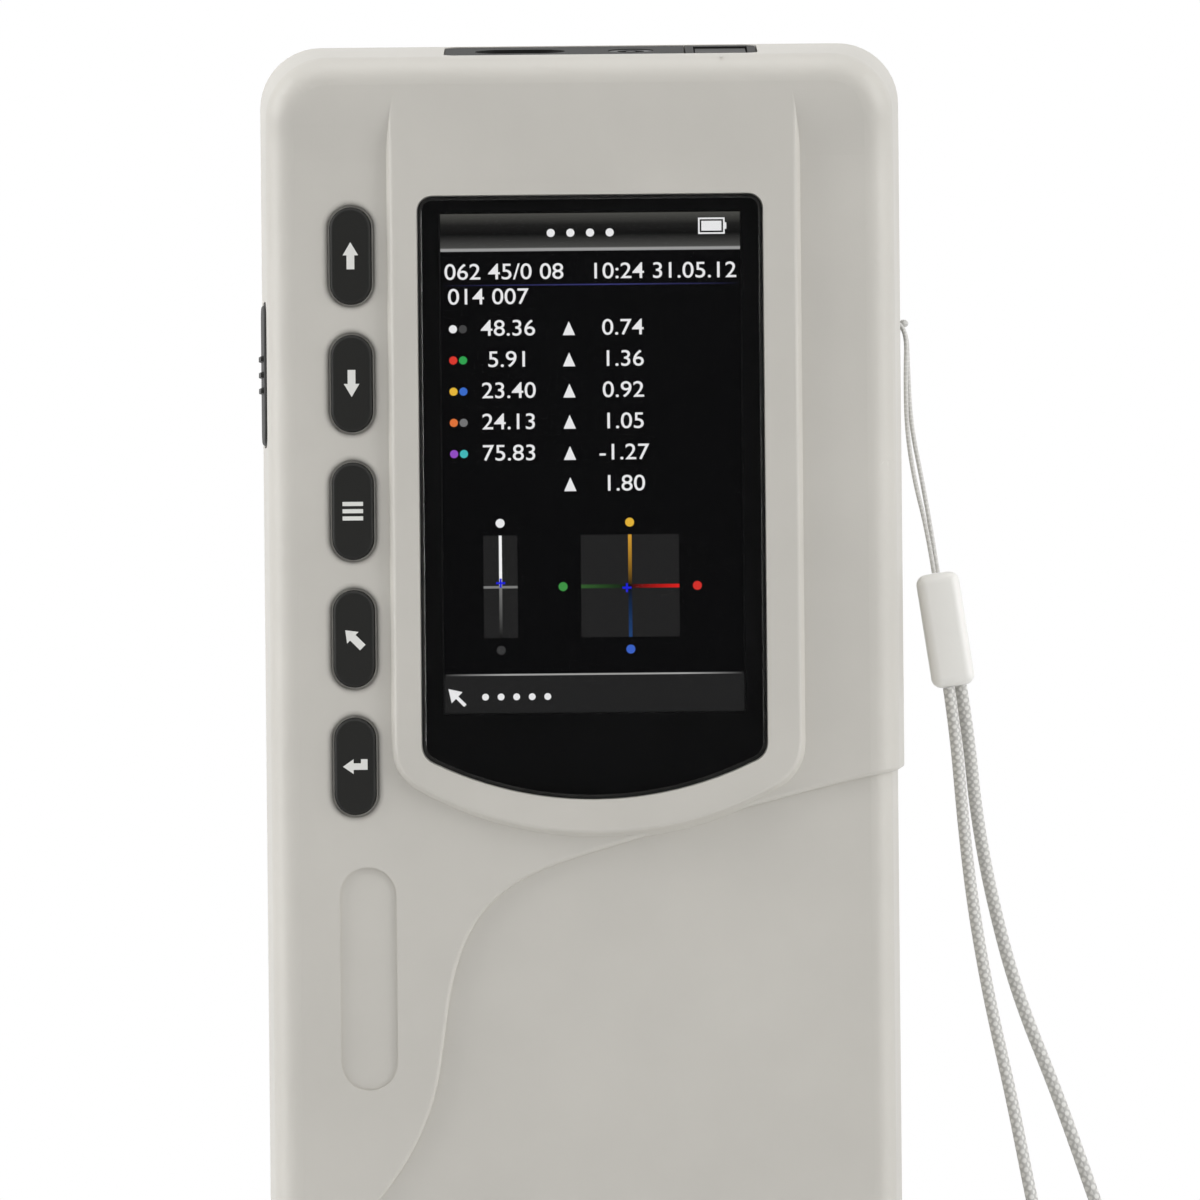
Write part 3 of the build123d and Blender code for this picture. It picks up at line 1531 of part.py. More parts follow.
with BuildPart() as optics_screws:
    head_z = flange_bottom_z + head_flange_thickness
    with BuildSketch(Plane.XY.offset(head_z)):
        with PolarLocations(head_screw_circle, head_screw_count, start_angle=30):
            Circle(head_screw_head)
    extrude(amount=head_screw_head_height)
    with BuildSketch(Plane.XY.offset(head_z)):
        with PolarLocations(head_screw_circle, head_screw_count, start_angle=30):
            Circle(head_screw_radius)
    extrude(amount=-head_flange_thickness)
optics_screws.part.label = "optics_screws"
export_step(optics_screws.part, "parts/optics_screws.step")

# Wrist strap

with BuildPart() as strap_bar:
    with Locations((strap_bar_x, eye_y, eye_z)):
        Cylinder(strap_bar_radius, eye_height + 2 * strap_bar_grip)
strap_bar.part.label = "strap_bar"
export_step(strap_bar.part, "parts/strap_bar.step")

bead_plane = Plane(
    origin=bead_middle,
    x_dir=(cos(radians(bead_lean)), 0, sin(radians(bead_lean))),
    z_dir=(-sin(radians(bead_lean)), 0, cos(radians(bead_lean))),
)
with BuildPart() as strap_bead:
    with BuildSketch(bead_plane.offset(-bead_length / 2)):
        Rectangle(bead_width, bead_thickness)
    extrude(amount=bead_length)
    chamfer(strap_bead.edges(), bead_bevel)
strap_bead.part.label = "strap_bead"
export_step(strap_bead.part, "parts/strap_bead.step")


def cord_tube(points, diameter):
    """A tube along straight runs joined by tangent arcs as large as their runs allow."""
    path_points = [Vector(point) for point in points]
    radii = []
    for before, here, after in zip(path_points, path_points[1:], path_points[2:]):
        shorter = min((here - before).length, (after - here).length)
        turn = (here - before).get_angle(after - here)
        radii.append(0.45 * shorter / tan(radians(turn / 2)))
    with BuildPart() as tube:
        with BuildLine() as path:
            FilletPolyline(*path_points, radius=radii)
        with BuildSketch(Plane(path_points[0], z_dir=path_points[1] - path_points[0])):
            Circle(diameter / 2)
        sweep()
    route = path.wire().length
    section = pi * diameter**2 / 4
    print("radii", [round(radius, 1) for radius in radii])
    print("length", round(route, 1), "volume share", round(tube.part.volume / (route * section), 4))
    return tube.part


with BuildPart() as strap_string:
    add(cord_tube(string_route, string_diameter))
strap_string.part.label = "strap_string"
export_step(strap_string.part, "parts/strap_string.step")

with BuildPart() as strap_braid:
    add(cord_tube(braid_route, braid_diameter))
strap_braid.part.label = "strap_braid"
export_step(strap_braid.part, "parts/strap_braid.step")
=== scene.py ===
# %% [markdown]
# # A hand-held colour meter
#
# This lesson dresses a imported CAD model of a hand-held colour meter. The solids are already there, in their
# true sizes and places: a grey moulded housing, a window with a display behind it, five keys, a trigger,
# sockets in the top, a measuring base with its calibration cap, and the bar for a wrist strap. What is left for
# Blender is what the eye reads: finishes, print, the lit display, the woven strap, and the light.
#
# Every piece is in metres and stands where the real one stands, so the CAD says where things go.

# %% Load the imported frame
from math import cos, pi, radians, sin

import bmesh
import bpy
from mathutils import Matrix, Vector


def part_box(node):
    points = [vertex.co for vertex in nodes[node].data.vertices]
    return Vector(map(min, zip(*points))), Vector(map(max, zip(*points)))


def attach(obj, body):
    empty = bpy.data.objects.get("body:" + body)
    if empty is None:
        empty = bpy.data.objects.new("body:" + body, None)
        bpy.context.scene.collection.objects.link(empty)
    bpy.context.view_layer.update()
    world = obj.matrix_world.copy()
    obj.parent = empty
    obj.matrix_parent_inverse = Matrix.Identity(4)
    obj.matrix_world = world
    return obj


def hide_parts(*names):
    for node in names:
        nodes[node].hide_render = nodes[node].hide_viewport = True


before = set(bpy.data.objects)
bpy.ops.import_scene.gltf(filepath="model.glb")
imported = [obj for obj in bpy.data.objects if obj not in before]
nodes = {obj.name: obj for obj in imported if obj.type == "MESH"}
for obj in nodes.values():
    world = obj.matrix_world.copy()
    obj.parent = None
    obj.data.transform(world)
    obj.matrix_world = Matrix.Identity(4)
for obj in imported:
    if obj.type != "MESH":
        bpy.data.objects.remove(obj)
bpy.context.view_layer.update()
scene = bpy.context.scene
mm = 0.001
main_body = "instrument"
print("CAD pieces:", len(nodes))

# %% [markdown]
# ## The camera
#
# The photograph was taken square to the front, from far off: the sides of the housing hardly show. A long lens
# a little over a metre away gives the same flat view. The frame takes in a strip 146 mm high, from just above
# the sockets down to the waist of the housing, and the instrument leans in it by half a degree.

# %% Camera
view_height = 146.0 * mm
view_x = 1.99 * mm
view_z = 136.5 * mm
view_middle = Vector((view_x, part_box("display_window")[0].y, view_z))
camera_distance = 1200 * mm
camera_lean = radians(0.55)

camera_data = bpy.data.cameras.new("camera")
camera_data.sensor_width = 36
camera_data.lens = camera_data.sensor_width * camera_distance / view_height
camera = bpy.data.objects.new("camera", camera_data)
scene.collection.objects.link(camera)
camera.matrix_world = (
    Matrix.Translation(view_middle - Vector((0, camera_distance, 0)))
    @ Matrix.Rotation(pi / 2, 4, "X")
    @ Matrix.Rotation(-camera_lean, 4, "Z")
)
scene.camera = camera
print("lens", round(camera_data.lens), "mm")

# %% [markdown]
# ## Colours
#
# A colour picked off a photograph is in display steps from 0 to 255, but Blender mixes light in linear values.
# One helper turns the first into the second, so that the script can name colours as they were seen.

# %% Colours as seen
def seen(red, green, blue):
    """A colour in display steps from 0 to 255, as the linear colour that a shader takes."""
    linear = []
    for step in (red, green, blue):
        share = step / 255
        linear.append(share / 12.92 if share <= 0.04045 else ((share + 0.055) / 1.055) ** 2.4)
    return tuple(linear)


housing_grey = seen(199, 196, 189)
print("housing grey, linear:", [round(value, 3) for value in housing_grey])

# %% [markdown]
# ## A small kit for finishes
#
# Every finish here starts from one Principled shader, and a noise that is fixed to the piece by its Object
# coordinates. The noise then does up to three jobs: it drifts the colour, it makes some spots duller than
# others, and it raises a fine relief. Grain sizes are given in millimetres, because the reader can check those
# against a real surface.

# %% Start a finish
def new_finish(name, colour, roughness, metallic=0.0):
    """A material with one Principled shader at these values."""
    material = bpy.data.materials.new(name)
    material.use_nodes = True
    shader = material.node_tree.nodes["Principled BSDF"]
    shader.inputs["Base Color"].default_value = (*colour, 1)
    shader.inputs["Roughness"].default_value = roughness
    shader.inputs["Metallic"].default_value = metallic
    return material


def add_node(material, kind, **values):
    """A new node of this kind, with its input values set by name."""
    node = material.node_tree.nodes.new(kind)
    for key, value in values.items():
        node.inputs[key.replace("_", " ").title()].default_value = value
    return node


# %% [markdown]
# Noise Texture counts cycles per metre here, so a grain of 0.3 mm needs a scale of a few thousand. Stretching
# the coordinates first turns round grains into brush marks.

# %% Noise fixed to the piece
def grain(material, size, stretch=(1, 1, 1), detail=2.0):
    """A noise whose grains are about this size, stretched along the axes as given."""
    links = material.node_tree.links
    place = add_node(material, "ShaderNodeTexCoord")
    mapping = add_node(material, "ShaderNodeMapping", scale=[1 / size / share for share in stretch])
    noise = add_node(material, "ShaderNodeTexNoise", scale=1.0, detail=detail)
    links.new(place.outputs["Object"], mapping.inputs["Vector"])
    links.new(mapping.outputs["Vector"], noise.inputs["Vector"])
    return noise.outputs["Fac"]


# %% [markdown]
# Three short helpers put a pattern to work. A ColorRamp drifts the base colour between two neighbours, a Map
# Range does the same for roughness, and a Bump node turns the pattern into relief of a real height.

# %% Put a pattern to work
def shader_of(material):
    return material.node_tree.nodes["Principled BSDF"]


def drift_colour(material, pattern, low, high, start=0.3, end=0.7):
    ramp = add_node(material, "ShaderNodeValToRGB")
    ramp.color_ramp.elements[0].color = (*low, 1)
    ramp.color_ramp.elements[0].position = start
    ramp.color_ramp.elements[1].color = (*high, 1)
    ramp.color_ramp.elements[1].position = end
    links = material.node_tree.links
    links.new(pattern, ramp.inputs["Fac"])
    links.new(ramp.outputs["Color"], shader_of(material).inputs["Base Color"])
    return ramp


def drift_roughness(material, pattern, low, high):
    spread = add_node(material, "ShaderNodeMapRange")
    spread.inputs["To Min"].default_value = low
    spread.inputs["To Max"].default_value = high
    links = material.node_tree.links
    links.new(pattern, spread.inputs["Value"])
    links.new(spread.outputs["Result"], shader_of(material).inputs["Roughness"])


def raise_relief(material, pattern, height, strength=0.5):
    bump = add_node(material, "ShaderNodeBump", strength=strength, distance=height)
    links = material.node_tree.links
    links.new(pattern, bump.inputs["Height"])
    links.new(bump.outputs["Normal"], shader_of(material).inputs["Normal"])


def shade(colour, share):
    """The same colour, darker or lighter by this share."""
    return tuple(min(1.0, value * share) for value in colour)


# %% [markdown]
# ## Moulded plastics
#
# Housings of this kind are moulded in a tool whose steel has been spark-eroded, which leaves an even, very fine
# grain that kills hard reflections. The colour itself is through the plastic, so it only drifts by a few
# percent. The same function serves every plastic on the instrument, with its own colour, dullness and grain.

# %% Moulded plastic
cloud_size = 18 * mm
dull_spread = 0.06


def moulded(name, colour, dull, grain_size=0.25 * mm, grain_height=0.012 * mm, drift=0.03):
    """Plastic straight from a grained tool."""
    material = new_finish(name, colour, dull)
    clouds = grain(material, cloud_size, detail=3.0)
    drift_colour(material, clouds, shade(colour, 1 - drift), shade(colour, 1 + drift))
    fine = grain(material, grain_size)
    drift_roughness(material, fine, dull - dull_spread, dull + dull_spread)
    raise_relief(material, fine, grain_height)
    return material


housing_plastic = moulded("housing_plastic", housing_grey, 0.46)
key_plastic = moulded("key_plastic", seen(27, 27, 25), 0.55, 0.18 * mm, 0.008 * mm)
shader_of(key_plastic).inputs["Specular IOR Level"].default_value = 0.3
panel_plastic = moulded("panel_plastic", seen(36, 36, 35), 0.62, 0.35 * mm, 0.02 * mm)
shader_of(panel_plastic).inputs["Specular IOR Level"].default_value = 0.2
black_plastic = moulded("black_plastic", seen(24, 24, 24), 0.42)
plug_plastic = moulded("plug_plastic", seen(226, 221, 205), 0.4)
bead_plastic = moulded("bead_plastic", seen(236, 235, 231), 0.34, 0.5 * mm, 0.01 * mm, 0.015)
pad_rubber = moulded("pad_rubber", seen(70, 70, 72), 0.75, 0.3 * mm, 0.03 * mm, 0.08)
keypad_silicone = moulded("keypad_silicone", seen(150, 150, 152), 0.62, 0.4 * mm, 0.01 * mm)
battery_wrap = moulded("battery_wrap", seen(34, 36, 42), 0.3, 0.9 * mm, 0.02 * mm, 0.1)
print("moulded finishes: 9")

# %% [markdown]
# ## Metals
#
# Rolled sheet shows faint lines along the rolling direction, and a turned screw shows rings. Both are a
# noise squeezed hard along one axis, so the same helper makes them. Metallic is 1, so the base colour is
# the colour of the reflection.

# %% Metals
spot_size = 6 * mm


def worked_metal(name, colour, dull, stretch, line_size=0.08 * mm, line_height=0.004 * mm):
    """Bare metal with the marks of rolling or turning."""
    material = new_finish(name, colour, dull, metallic=1.0)
    lines = grain(material, line_size, stretch, detail=4.0)
    drift_roughness(material, lines, dull - 0.08, dull + 0.12)
    raise_relief(material, lines, line_height, 0.35)
    spots = grain(material, spot_size)
    drift_colour(material, spots, shade(colour, 0.9), shade(colour, 1.05))
    return material


tinned_sheet = worked_metal("tinned_sheet", (0.62, 0.62, 0.60), 0.3, (30, 1, 1))
screw_steel = worked_metal("screw_steel", (0.50, 0.50, 0.49), 0.28, (1, 12, 1))
spring_gold = worked_metal("spring_gold", (0.86, 0.62, 0.28), 0.22, (1, 20, 1))
anodised_black = new_finish("anodised_black", seen(22, 22, 23), 0.45, metallic=0.6)
drift_roughness(anodised_black, grain(anodised_black, 0.12 * mm), 0.36, 0.52)
drift_colour(anodised_black, grain(anodised_black, 9 * mm), seen(18, 18, 19), seen(30, 30, 31))
print("metal finishes: 4")

# %% [markdown]
# ## Circuit boards, ribbons and foam
#
# These show only when the instrument is opened, but they are what it is made of. Solder mask is a glossy green
# with copper tracks just visible under it. The tracks are a brick pattern seen edge on: long thin cells whose
# mortar lines stand up a little. Ribbon cables carry parallel copper lines under amber film.

# %% Boards, ribbons and foam
track_pitch = 4 * mm
copper_pitch = 3 * mm


def circuit_board(name):
    """Green solder mask with tracks under it."""
    material = new_finish(name, seen(22, 84, 52), 0.3)
    links = material.node_tree.links
    place = add_node(material, "ShaderNodeTexCoord")
    turn = add_node(material, "ShaderNodeMapping", rotation=(pi / 2, 0, 0))
    tracks = add_node(material, "ShaderNodeTexBrick", scale=1 / track_pitch, mortar_size=0.03)
    tracks.inputs["Color1"].default_value = (*seen(20, 78, 48), 1)
    tracks.inputs["Color2"].default_value = (*seen(24, 90, 56), 1)
    tracks.inputs["Mortar"].default_value = (*seen(60, 128, 84), 1)
    links.new(place.outputs["Object"], turn.inputs["Vector"])
    links.new(turn.outputs["Vector"], tracks.inputs["Vector"])
    links.new(tracks.outputs["Color"], shader_of(material).inputs["Base Color"])
    raise_relief(material, tracks.outputs["Fac"], 0.03 * mm)
    return material


def ribbon_film(name, axis):
    """Amber film over copper lines that run across the given axis."""
    material = new_finish(name, seen(196, 132, 44), 0.28)
    links = material.node_tree.links
    place = add_node(material, "ShaderNodeTexCoord")
    lines = add_node(material, "ShaderNodeTexWave", scale=1 / copper_pitch, distortion=0.0)
    lines.bands_direction = axis
    links.new(place.outputs["Object"], lines.inputs["Vector"])
    drift_colour(material, lines.outputs["Fac"], seen(150, 84, 30), seen(206, 146, 58))
    return material


board_laminate = circuit_board("board_laminate")
ribbon = ribbon_film("ribbon", "X")
foam = new_finish("foam", seen(28, 28, 29), 0.95)
foam_cells = grain(foam, 0.6 * mm, detail=5.0)
drift_colour(foam, foam_cells, seen(14, 14, 15), seen(44, 44, 46))
raise_relief(foam, foam_cells, 0.2 * mm, 0.8)
print("inner finishes: 3")

# %% [markdown]
# ## Clear parts and ceramics
#
# The window is hard-coated acrylic: light passes through, and a Fresnel reflection rides on top, which the
# Principled shader gives by itself once Transmission is 1. A trace of noise in the roughness stands for the
# wiping marks that any such window has. The white tile is glazed ceramic, where a thin clear coat lies over a
# body that scatters light. The window has a coating against reflections, so its mirror share is less than half
# of bare acrylic.

# %% Clear parts and ceramics
def clear_part(name, colour, index, dull, mirror=0.5):
    """A clear solid with faint wiping marks."""
    material = new_finish(name, colour, dull)
    shader = shader_of(material)
    shader.inputs["Transmission Weight"].default_value = 1.0
    shader.inputs["IOR"].default_value = index
    shader.inputs["Specular IOR Level"].default_value = mirror
    drift_roughness(material, grain(material, 5 * mm, (4, 1, 1)), dull, dull + 0.02)
    return material


window_acrylic = clear_part("window_acrylic", (0.97, 0.97, 0.98), 1.49, 0.02, mirror=0.2)
lens_glass = clear_part("lens_glass", (0.96, 0.98, 1.0), 1.52, 0.0)
lamp_epoxy = clear_part("lamp_epoxy", (0.95, 0.94, 0.86), 1.5, 0.08)

tile_ceramic = new_finish("tile_ceramic", seen(243, 243, 240), 0.22)
shader_of(tile_ceramic).inputs["Coat Weight"].default_value = 0.6
drift_colour(tile_ceramic, grain(tile_ceramic, 3 * mm), seen(240, 240, 236), seen(247, 247, 245))
raise_relief(tile_ceramic, grain(tile_ceramic, 1.5 * mm), 0.01 * mm)

display_face = new_finish("display_face", seen(10, 10, 11), 0.3)
drift_roughness(display_face, grain(display_face, 0.1 * mm), 0.26, 0.36)
drift_colour(display_face, grain(display_face, 30 * mm), seen(8, 8, 9), seen(12, 12, 13))
print("clear and ceramic finishes: 5")

# %% [markdown]
# ## Dressing the CAD pieces
#
# Now each CAD piece gets the finish of the real one. A dictionary from finish to names keeps this to one look:
# a reader can see at once that nothing is left with the plain colour it was packed with.

# %% Dress the CAD pieces
wardrobe = {
    housing_plastic: "front_shell rear_shell base_foot calibration_cap battery_door",
    key_plastic: "key_up key_down key_menu key_standard key_enter trigger_button power_rocker",
    panel_plastic: "connector_panel rocker_frame",
    window_acrylic: "display_window",
    display_face: "lcd_module",
    foam: "window_gasket base_seal tile_seat",
    tinned_sheet: "lcd_bracket board_shield usb_port sensor_shield coin_cell",
    keypad_silicone: "keypad_mat",
    board_laminate: "main_board connector_board illumination_board sensor_board",
    black_plastic: "board_chips buzzer trigger_switch dc_jack battery_tray optics_housing light_baffle sensor_chip",
    plug_plastic: "board_connectors",
    ribbon: "display_flex sensor_flex",
    battery_wrap: "battery_pack",
    spring_gold: "battery_contacts",
    anodised_black: "aperture_plate lens_retainer",
    tile_ceramic: "white_tile",
    lamp_epoxy: "leds",
    lens_glass: "front_lens",
    screw_steel: "case_screws board_screws base_screws optics_screws strap_bar",
    bead_plastic: "strap_bead",
    pad_rubber: "cap_grip",
}
dressed = set()
for finish, names in wardrobe.items():
    for name in names.split():
        nodes[name].data.materials.clear()
        nodes[name].data.materials.append(finish)
        dressed.add(name)
print("dressed:", len(dressed), "left for the strap:", sorted(set(nodes) - dressed))

# %% [markdown]
# ## The wrist strap
#
# The strap is two cords. A thin string loops round a bar in the side of the housing and comes back to a white
# bead. From the bead hangs a loop of flat braid, which goes down to the table, turns there and comes back up.
# Both follow a NURBS spline with a handful of control points each, because a spline of order 3 bends as
# smoothly as a cord does. The points are where the cord would be pinned if it were laid out by hand.

# %% Routes of the string and the braid
string_route = [
    (0.0435, -0.0077, 0.13943),
    (0.0427, -0.0077, 0.1448),
    (0.0412, -0.0079, 0.1508),
    (0.0403, -0.0076, 0.1570),
    (0.0402, -0.0073, 0.1634),
    (0.04045, -0.00725, 0.1707),
    (0.03664, -0.00725, 0.1707),
    (0.03664, -0.00475, 0.1707),
    (0.04045, -0.00475, 0.1707),
    (0.0406, -0.0048, 0.1640),
    (0.0409, -0.0052, 0.1578),
    (0.0421, -0.0059, 0.1514),
    (0.0432, -0.0063, 0.1450),
    (0.0440, -0.0063, 0.1395),
]
braid_route = [
    (0.0452, -0.0078, 0.12523),
    (0.0460, -0.0078, 0.1194),
    (0.0468, -0.0081, 0.1086),
    (0.0479, -0.0086, 0.0980),
    (0.0498, -0.0092, 0.0864),
    (0.0524, -0.0099, 0.0745),
    (0.0548, -0.0106, 0.0614),
    (0.0576, -0.0112, 0.0480),
    (0.0598, -0.0116, 0.0350),
    (0.0616, -0.0120, 0.0220),
    (0.0630, -0.0130, 0.0095),
    (0.0640, -0.0175, 0.0010),
    (0.0636, -0.0260, 0.0010),
    (0.0638, -0.0340, 0.0010),
    (0.0680, -0.0384, 0.0010),
    (0.0740, -0.0386, 0.0010),
    (0.0784, -0.0344, 0.0010),
    (0.0786, -0.0260, 0.0010),
    (0.0780, -0.0170, 0.0010),
    (0.0765, -0.0105, 0.0080),
    (0.0740, -0.0083, 0.0200),
    (0.0712, -0.0076, 0.0330),
    (0.0676, -0.0070, 0.0470),
    (0.0629, -0.0066, 0.0610),
    (0.0583, -0.0063, 0.0745),
    (0.0535, -0.0062, 0.0866),
    (0.0504, -0.0061, 0.0986),
    (0.0485, -0.0061, 0.1094),
    (0.0476, -0.0062, 0.1196),
    (0.0467, -0.0062, 0.12545),
]
print("control points:", len(string_route), "and", len(braid_route))

# %% [markdown]
# A curve object can carry a second curve along itself as its cross-section. That gives the string a round
# section and the braid a flat one with soft edges, and Blender keeps the section from twisting by itself. The
# order and the end-point setting only take hold once the points exist, so they come last.

# %% A smooth curve through a few points
cord_order = 3


def nurbs(name, points, order, closed):
    """A curve of one NURBS spline through the pull of these points."""
    curve = bpy.data.curves.new(name, "CURVE")
    curve.dimensions = "3D"
    curve.resolution_u = 10
    spline = curve.splines.new("NURBS")
    spline.points.add(len(points) - 1)
    for point, place in zip(spline.points, points):
        point.co = (*place, 1)
    spline.use_cyclic_u = closed
    spline.order_u = order
    spline.use_endpoint_u = not closed
    return curve


def evaluated_mesh(curve_object):
    """The curve or text as it is drawn, as a new mesh."""
    bpy.context.view_layer.update()
    depsgraph = bpy.context.evaluated_depsgraph_get()
    return bpy.data.meshes.new_from_object(curve_object.evaluated_get(depsgraph))


print("order of the splines:", cord_order)

# %% [markdown]
# The section is a ring of eight control points. A NURBS ring runs a little inside its points, so they stand
# slightly further out than half the width. The helper curves go once the cord is a mesh.

# %% Sweep a cord along its route
string_diameter = 0.56 * mm
braid_width = 2.1 * mm
braid_thickness = 1.5 * mm
ring_reach = 0.54
section_steps = 3


def swept_cord(name, route, width, thickness):
    """A cord of this section along the route, as a mesh, and the points of its centre line."""
    guide = bpy.data.objects.new(name + "_guide", nurbs(name, route, cord_order, False))
    corners = [(cos(turn * pi / 4), sin(turn * pi / 4)) for turn in range(8)]
    ring = [(x * width * ring_reach, y * thickness * ring_reach, 0) for x, y in corners]
    section = bpy.data.objects.new(name + "_section", nurbs(name + "_section", ring, cord_order, True))
    section.data.resolution_u = section_steps
    for helper in (guide, section):
        scene.collection.objects.link(helper)
    centre = [vertex.co.copy() for vertex in evaluated_mesh(guide).vertices]
    guide.data.bevel_mode = "OBJECT"
    guide.data.bevel_object = section
    guide.data.use_fill_caps = True
    cord = bpy.data.objects.new(name, evaluated_mesh(guide))
    scene.collection.objects.link(cord)
    for helper in (guide, section):
        bpy.data.objects.remove(helper)
    return cord, centre


string, string_line = swept_cord("strap_string_cord", string_route, string_diameter, string_diameter)
braid, braid_line = swept_cord("strap_braid_cord", braid_route, braid_width, braid_thickness)
print("string:", len(string.data.polygons), "faces, braid:", len(braid.data.polygons), "faces")
print("UV maps:", [layer.name for layer in braid.data.uv_layers])

# %% [markdown]
# A braid is made of strands that cross in two slanting directions, so its surface is a chequer of small
# slanted stitches. Two wave patterns at opposite slants, in the UV map that the sweep left on the mesh, make
# that: where both crest, a stitch stands up in the relief. The same pattern paints the colour: a painted
# highlight on the stitches and painted shade in the gaps between them.

# %% Woven nylon
stitch_height = 0.08 * mm


def woven(name, colour, stitches_long, stitches_round, gap_shade_share):
    """Nylon strands that cross at a slant, in the cord's own UV map."""
    material = new_finish(name, colour, 0.6)
    shader_of(material).inputs["Sheen Weight"].default_value = 0.3
    links = material.node_tree.links
    place = add_node(material, "ShaderNodeTexCoord")
    waves = []
    for lean in (1, -1):
        slant = add_node(material, "ShaderNodeMapping")
        slant.inputs["Scale"].default_value = (stitches_long, lean * stitches_round, 1)
        wave = add_node(material, "ShaderNodeTexWave", scale=1.0 / 3)
        wave.bands_direction = "DIAGONAL"
        links.new(place.outputs["UV"], slant.inputs["Vector"])
        links.new(slant.outputs["Vector"], wave.inputs["Vector"])
        waves.append(wave.outputs["Fac"])
    crossing = add_node(material, "ShaderNodeMath")
    crossing.operation = "MULTIPLY"
    links.new(waves[0], crossing.inputs[0])
    links.new(waves[1], crossing.inputs[1])
    # Painted highlight and shade: the stitches are painted lighter and the gaps between them darker.
    painted_gap_shade, painted_stitch_highlight = shade(colour, gap_shade_share), shade(colour, 1.05)
    drift_colour(material, crossing.outputs["Value"], painted_gap_shade, painted_stitch_highlight, 0.0, 0.45)
    raise_relief(material, crossing.outputs["Value"], stitch_height)
    return material


strap_grey = seen(221, 220, 216)
# The last number is how dark the painted shade in the gaps is.
braid_nylon = woven("braid_nylon", strap_grey, 620, 7, 0.68)
string_nylon = woven("string_nylon", shade(strap_grey, 0.9), 260, 2, 0.92)
braid.data.materials.append(braid_nylon)
string.data.materials.append(string_nylon)
for cord in (braid, string):
    cord.data.polygons.foreach_set("use_smooth", [True] * len(cord.data.polygons))
    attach(cord, main_body)
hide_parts("strap_braid")
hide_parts("strap_string")
print("woven finishes: 2")

# %% [markdown]
# The bead is a soft white block with rounded edges, drawn as a box with wide bevels and leaned like the solid
# it stands for. At the eye, the string ends in a small knot.

# %% Bead and knot
bead_size = (5.3 * mm, 5.3 * mm, 14.2 * mm)
bead_place = (44.85 * mm, -7.0 * mm, 132.4 * mm)
bead_lean = radians(8.5)
bead_round = 1.25 * mm
knot_place = (40.05 * mm, -6.0 * mm, 170.5 * mm)
knot_radius = 0.62 * mm


def strap_piece(name, bm, material):
    """The mesh as an object of the strap, with smooth shading."""
    mesh = bpy.data.meshes.new(name)
    bm.to_mesh(mesh)
    bm.free()
    mesh.materials.append(material)
    mesh.polygons.foreach_set("use_smooth", [True] * len(mesh.polygons))
    piece = bpy.data.objects.new(name, mesh)
    scene.collection.objects.link(piece)
    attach(piece, main_body)
    return piece


bm = bmesh.new()
bmesh.ops.create_cube(bm, size=1.0)
bmesh.ops.scale(bm, verts=bm.verts, vec=bead_size)
bmesh.ops.bevel(bm, geom=bm.edges[:], offset=bead_round, segments=6, affect="EDGES", profile=0.5)
bm.transform(Matrix.Translation(bead_place) @ Matrix.Rotation(-bead_lean, 4, "Y"))
bead = strap_piece("bead", bm, bead_plastic)
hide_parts("strap_bead")

bm = bmesh.new()
bmesh.ops.create_icosphere(bm, subdivisions=3, radius=knot_radius)
bmesh.ops.scale(bm, verts=bm.verts, vec=(1.0, 1.5, 0.8))
bmesh.ops.translate(bm, verts=bm.verts, vec=knot_place)
knot = strap_piece("string_knot", bm, string_nylon)
print("bead faces:", len(bead.data.polygons))

# %% [markdown]
# The flat braid gives its mean width, which is the root of its width times its thickness.

# %% Count of the cords
print("cords: 2")

# %% [markdown]
# ## Flat printed shapes
#
# Keys, window and display carry flat marks: arrows, frames, digits. A mark is an outline of a few corners,
# filled as one face that looks out of the front, with its left side towards -X. One helper makes them all, and
# puts the mark at a given distance in front of the surface that carries it, thinner than a coat of paint.

# %% Flat shapes on the front
ink_thickness = 0.02 * mm


def add_piece(name, mesh, material, body):
    """An object for this mesh, which rides on a body and takes its finish from a slot."""
    piece = bpy.data.objects.new(name, mesh)
    mesh.materials.append(material)
    scene.collection.objects.link(piece)
    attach(piece, body)
    return piece


def laid(name, outlines, origin, across, up, material, body):
    """Flat shapes of (across, up) corners, laid on the plane through origin, seen from its front."""
    front = across.cross(up)
    bm = bmesh.new()
    for outline in outlines:
        bm.faces.new([bm.verts.new(origin + across * u + up * v) for u, v in outline])
    bm.normal_update()
    bmesh.ops.reverse_faces(bm, faces=[face for face in bm.faces if face.normal.dot(front) < 0])
    mesh = bpy.data.meshes.new(name)
    bm.to_mesh(mesh)
    bm.free()
    return add_piece(name, mesh, material, body)


def printed(name, outlines, y, material, body):
    """Flat shapes that face the front, each an outline of (x, z) corners, printed at this y."""
    return laid(name, outlines, Vector((0, y, 0)), Vector((1, 0, 0)), Vector((0, 0, 1)), material, body)


def bar(left, low, right, high):
    """The outline of an upright rectangle."""
    return [(left, low), (right, low), (right, high), (left, high)]


def disc(x, z, radius, corners=20):
    """The outline of a round dot."""
    turns = [2 * pi * n / corners for n in range(corners)]
    return [(x + radius * cos(turn), z + radius * sin(turn)) for turn in turns]


print("ink is", ink_thickness / mm, "mm thick")

# %% [markdown]
# ## Symbols on the keys
#
# The five keys carry light grey symbols: up, down, three bars for the menu, an arrow to the upper left, and an
# arrow with a hook. An arrow is seven corners, so its outline is written once, pointing up, and turned.

# %% Key symbols
symbol_grey = moulded("symbol_grey", seen(224, 224, 220), 0.5)
arrow_length = 3.3 * mm
arrow_width = 1.9 * mm
shaft_width = 0.95 * mm
head_length = 1.6 * mm


def arrow(length, width, shaft, head):
    """An arrow that points up, centred on the origin."""
    tip = length / 2
    neck = tip - head
    return [
        (0, tip), (-width / 2, neck), (-shaft / 2, neck), (-shaft / 2, -tip),
        (shaft / 2, -tip), (shaft / 2, neck), (width / 2, neck),
    ]


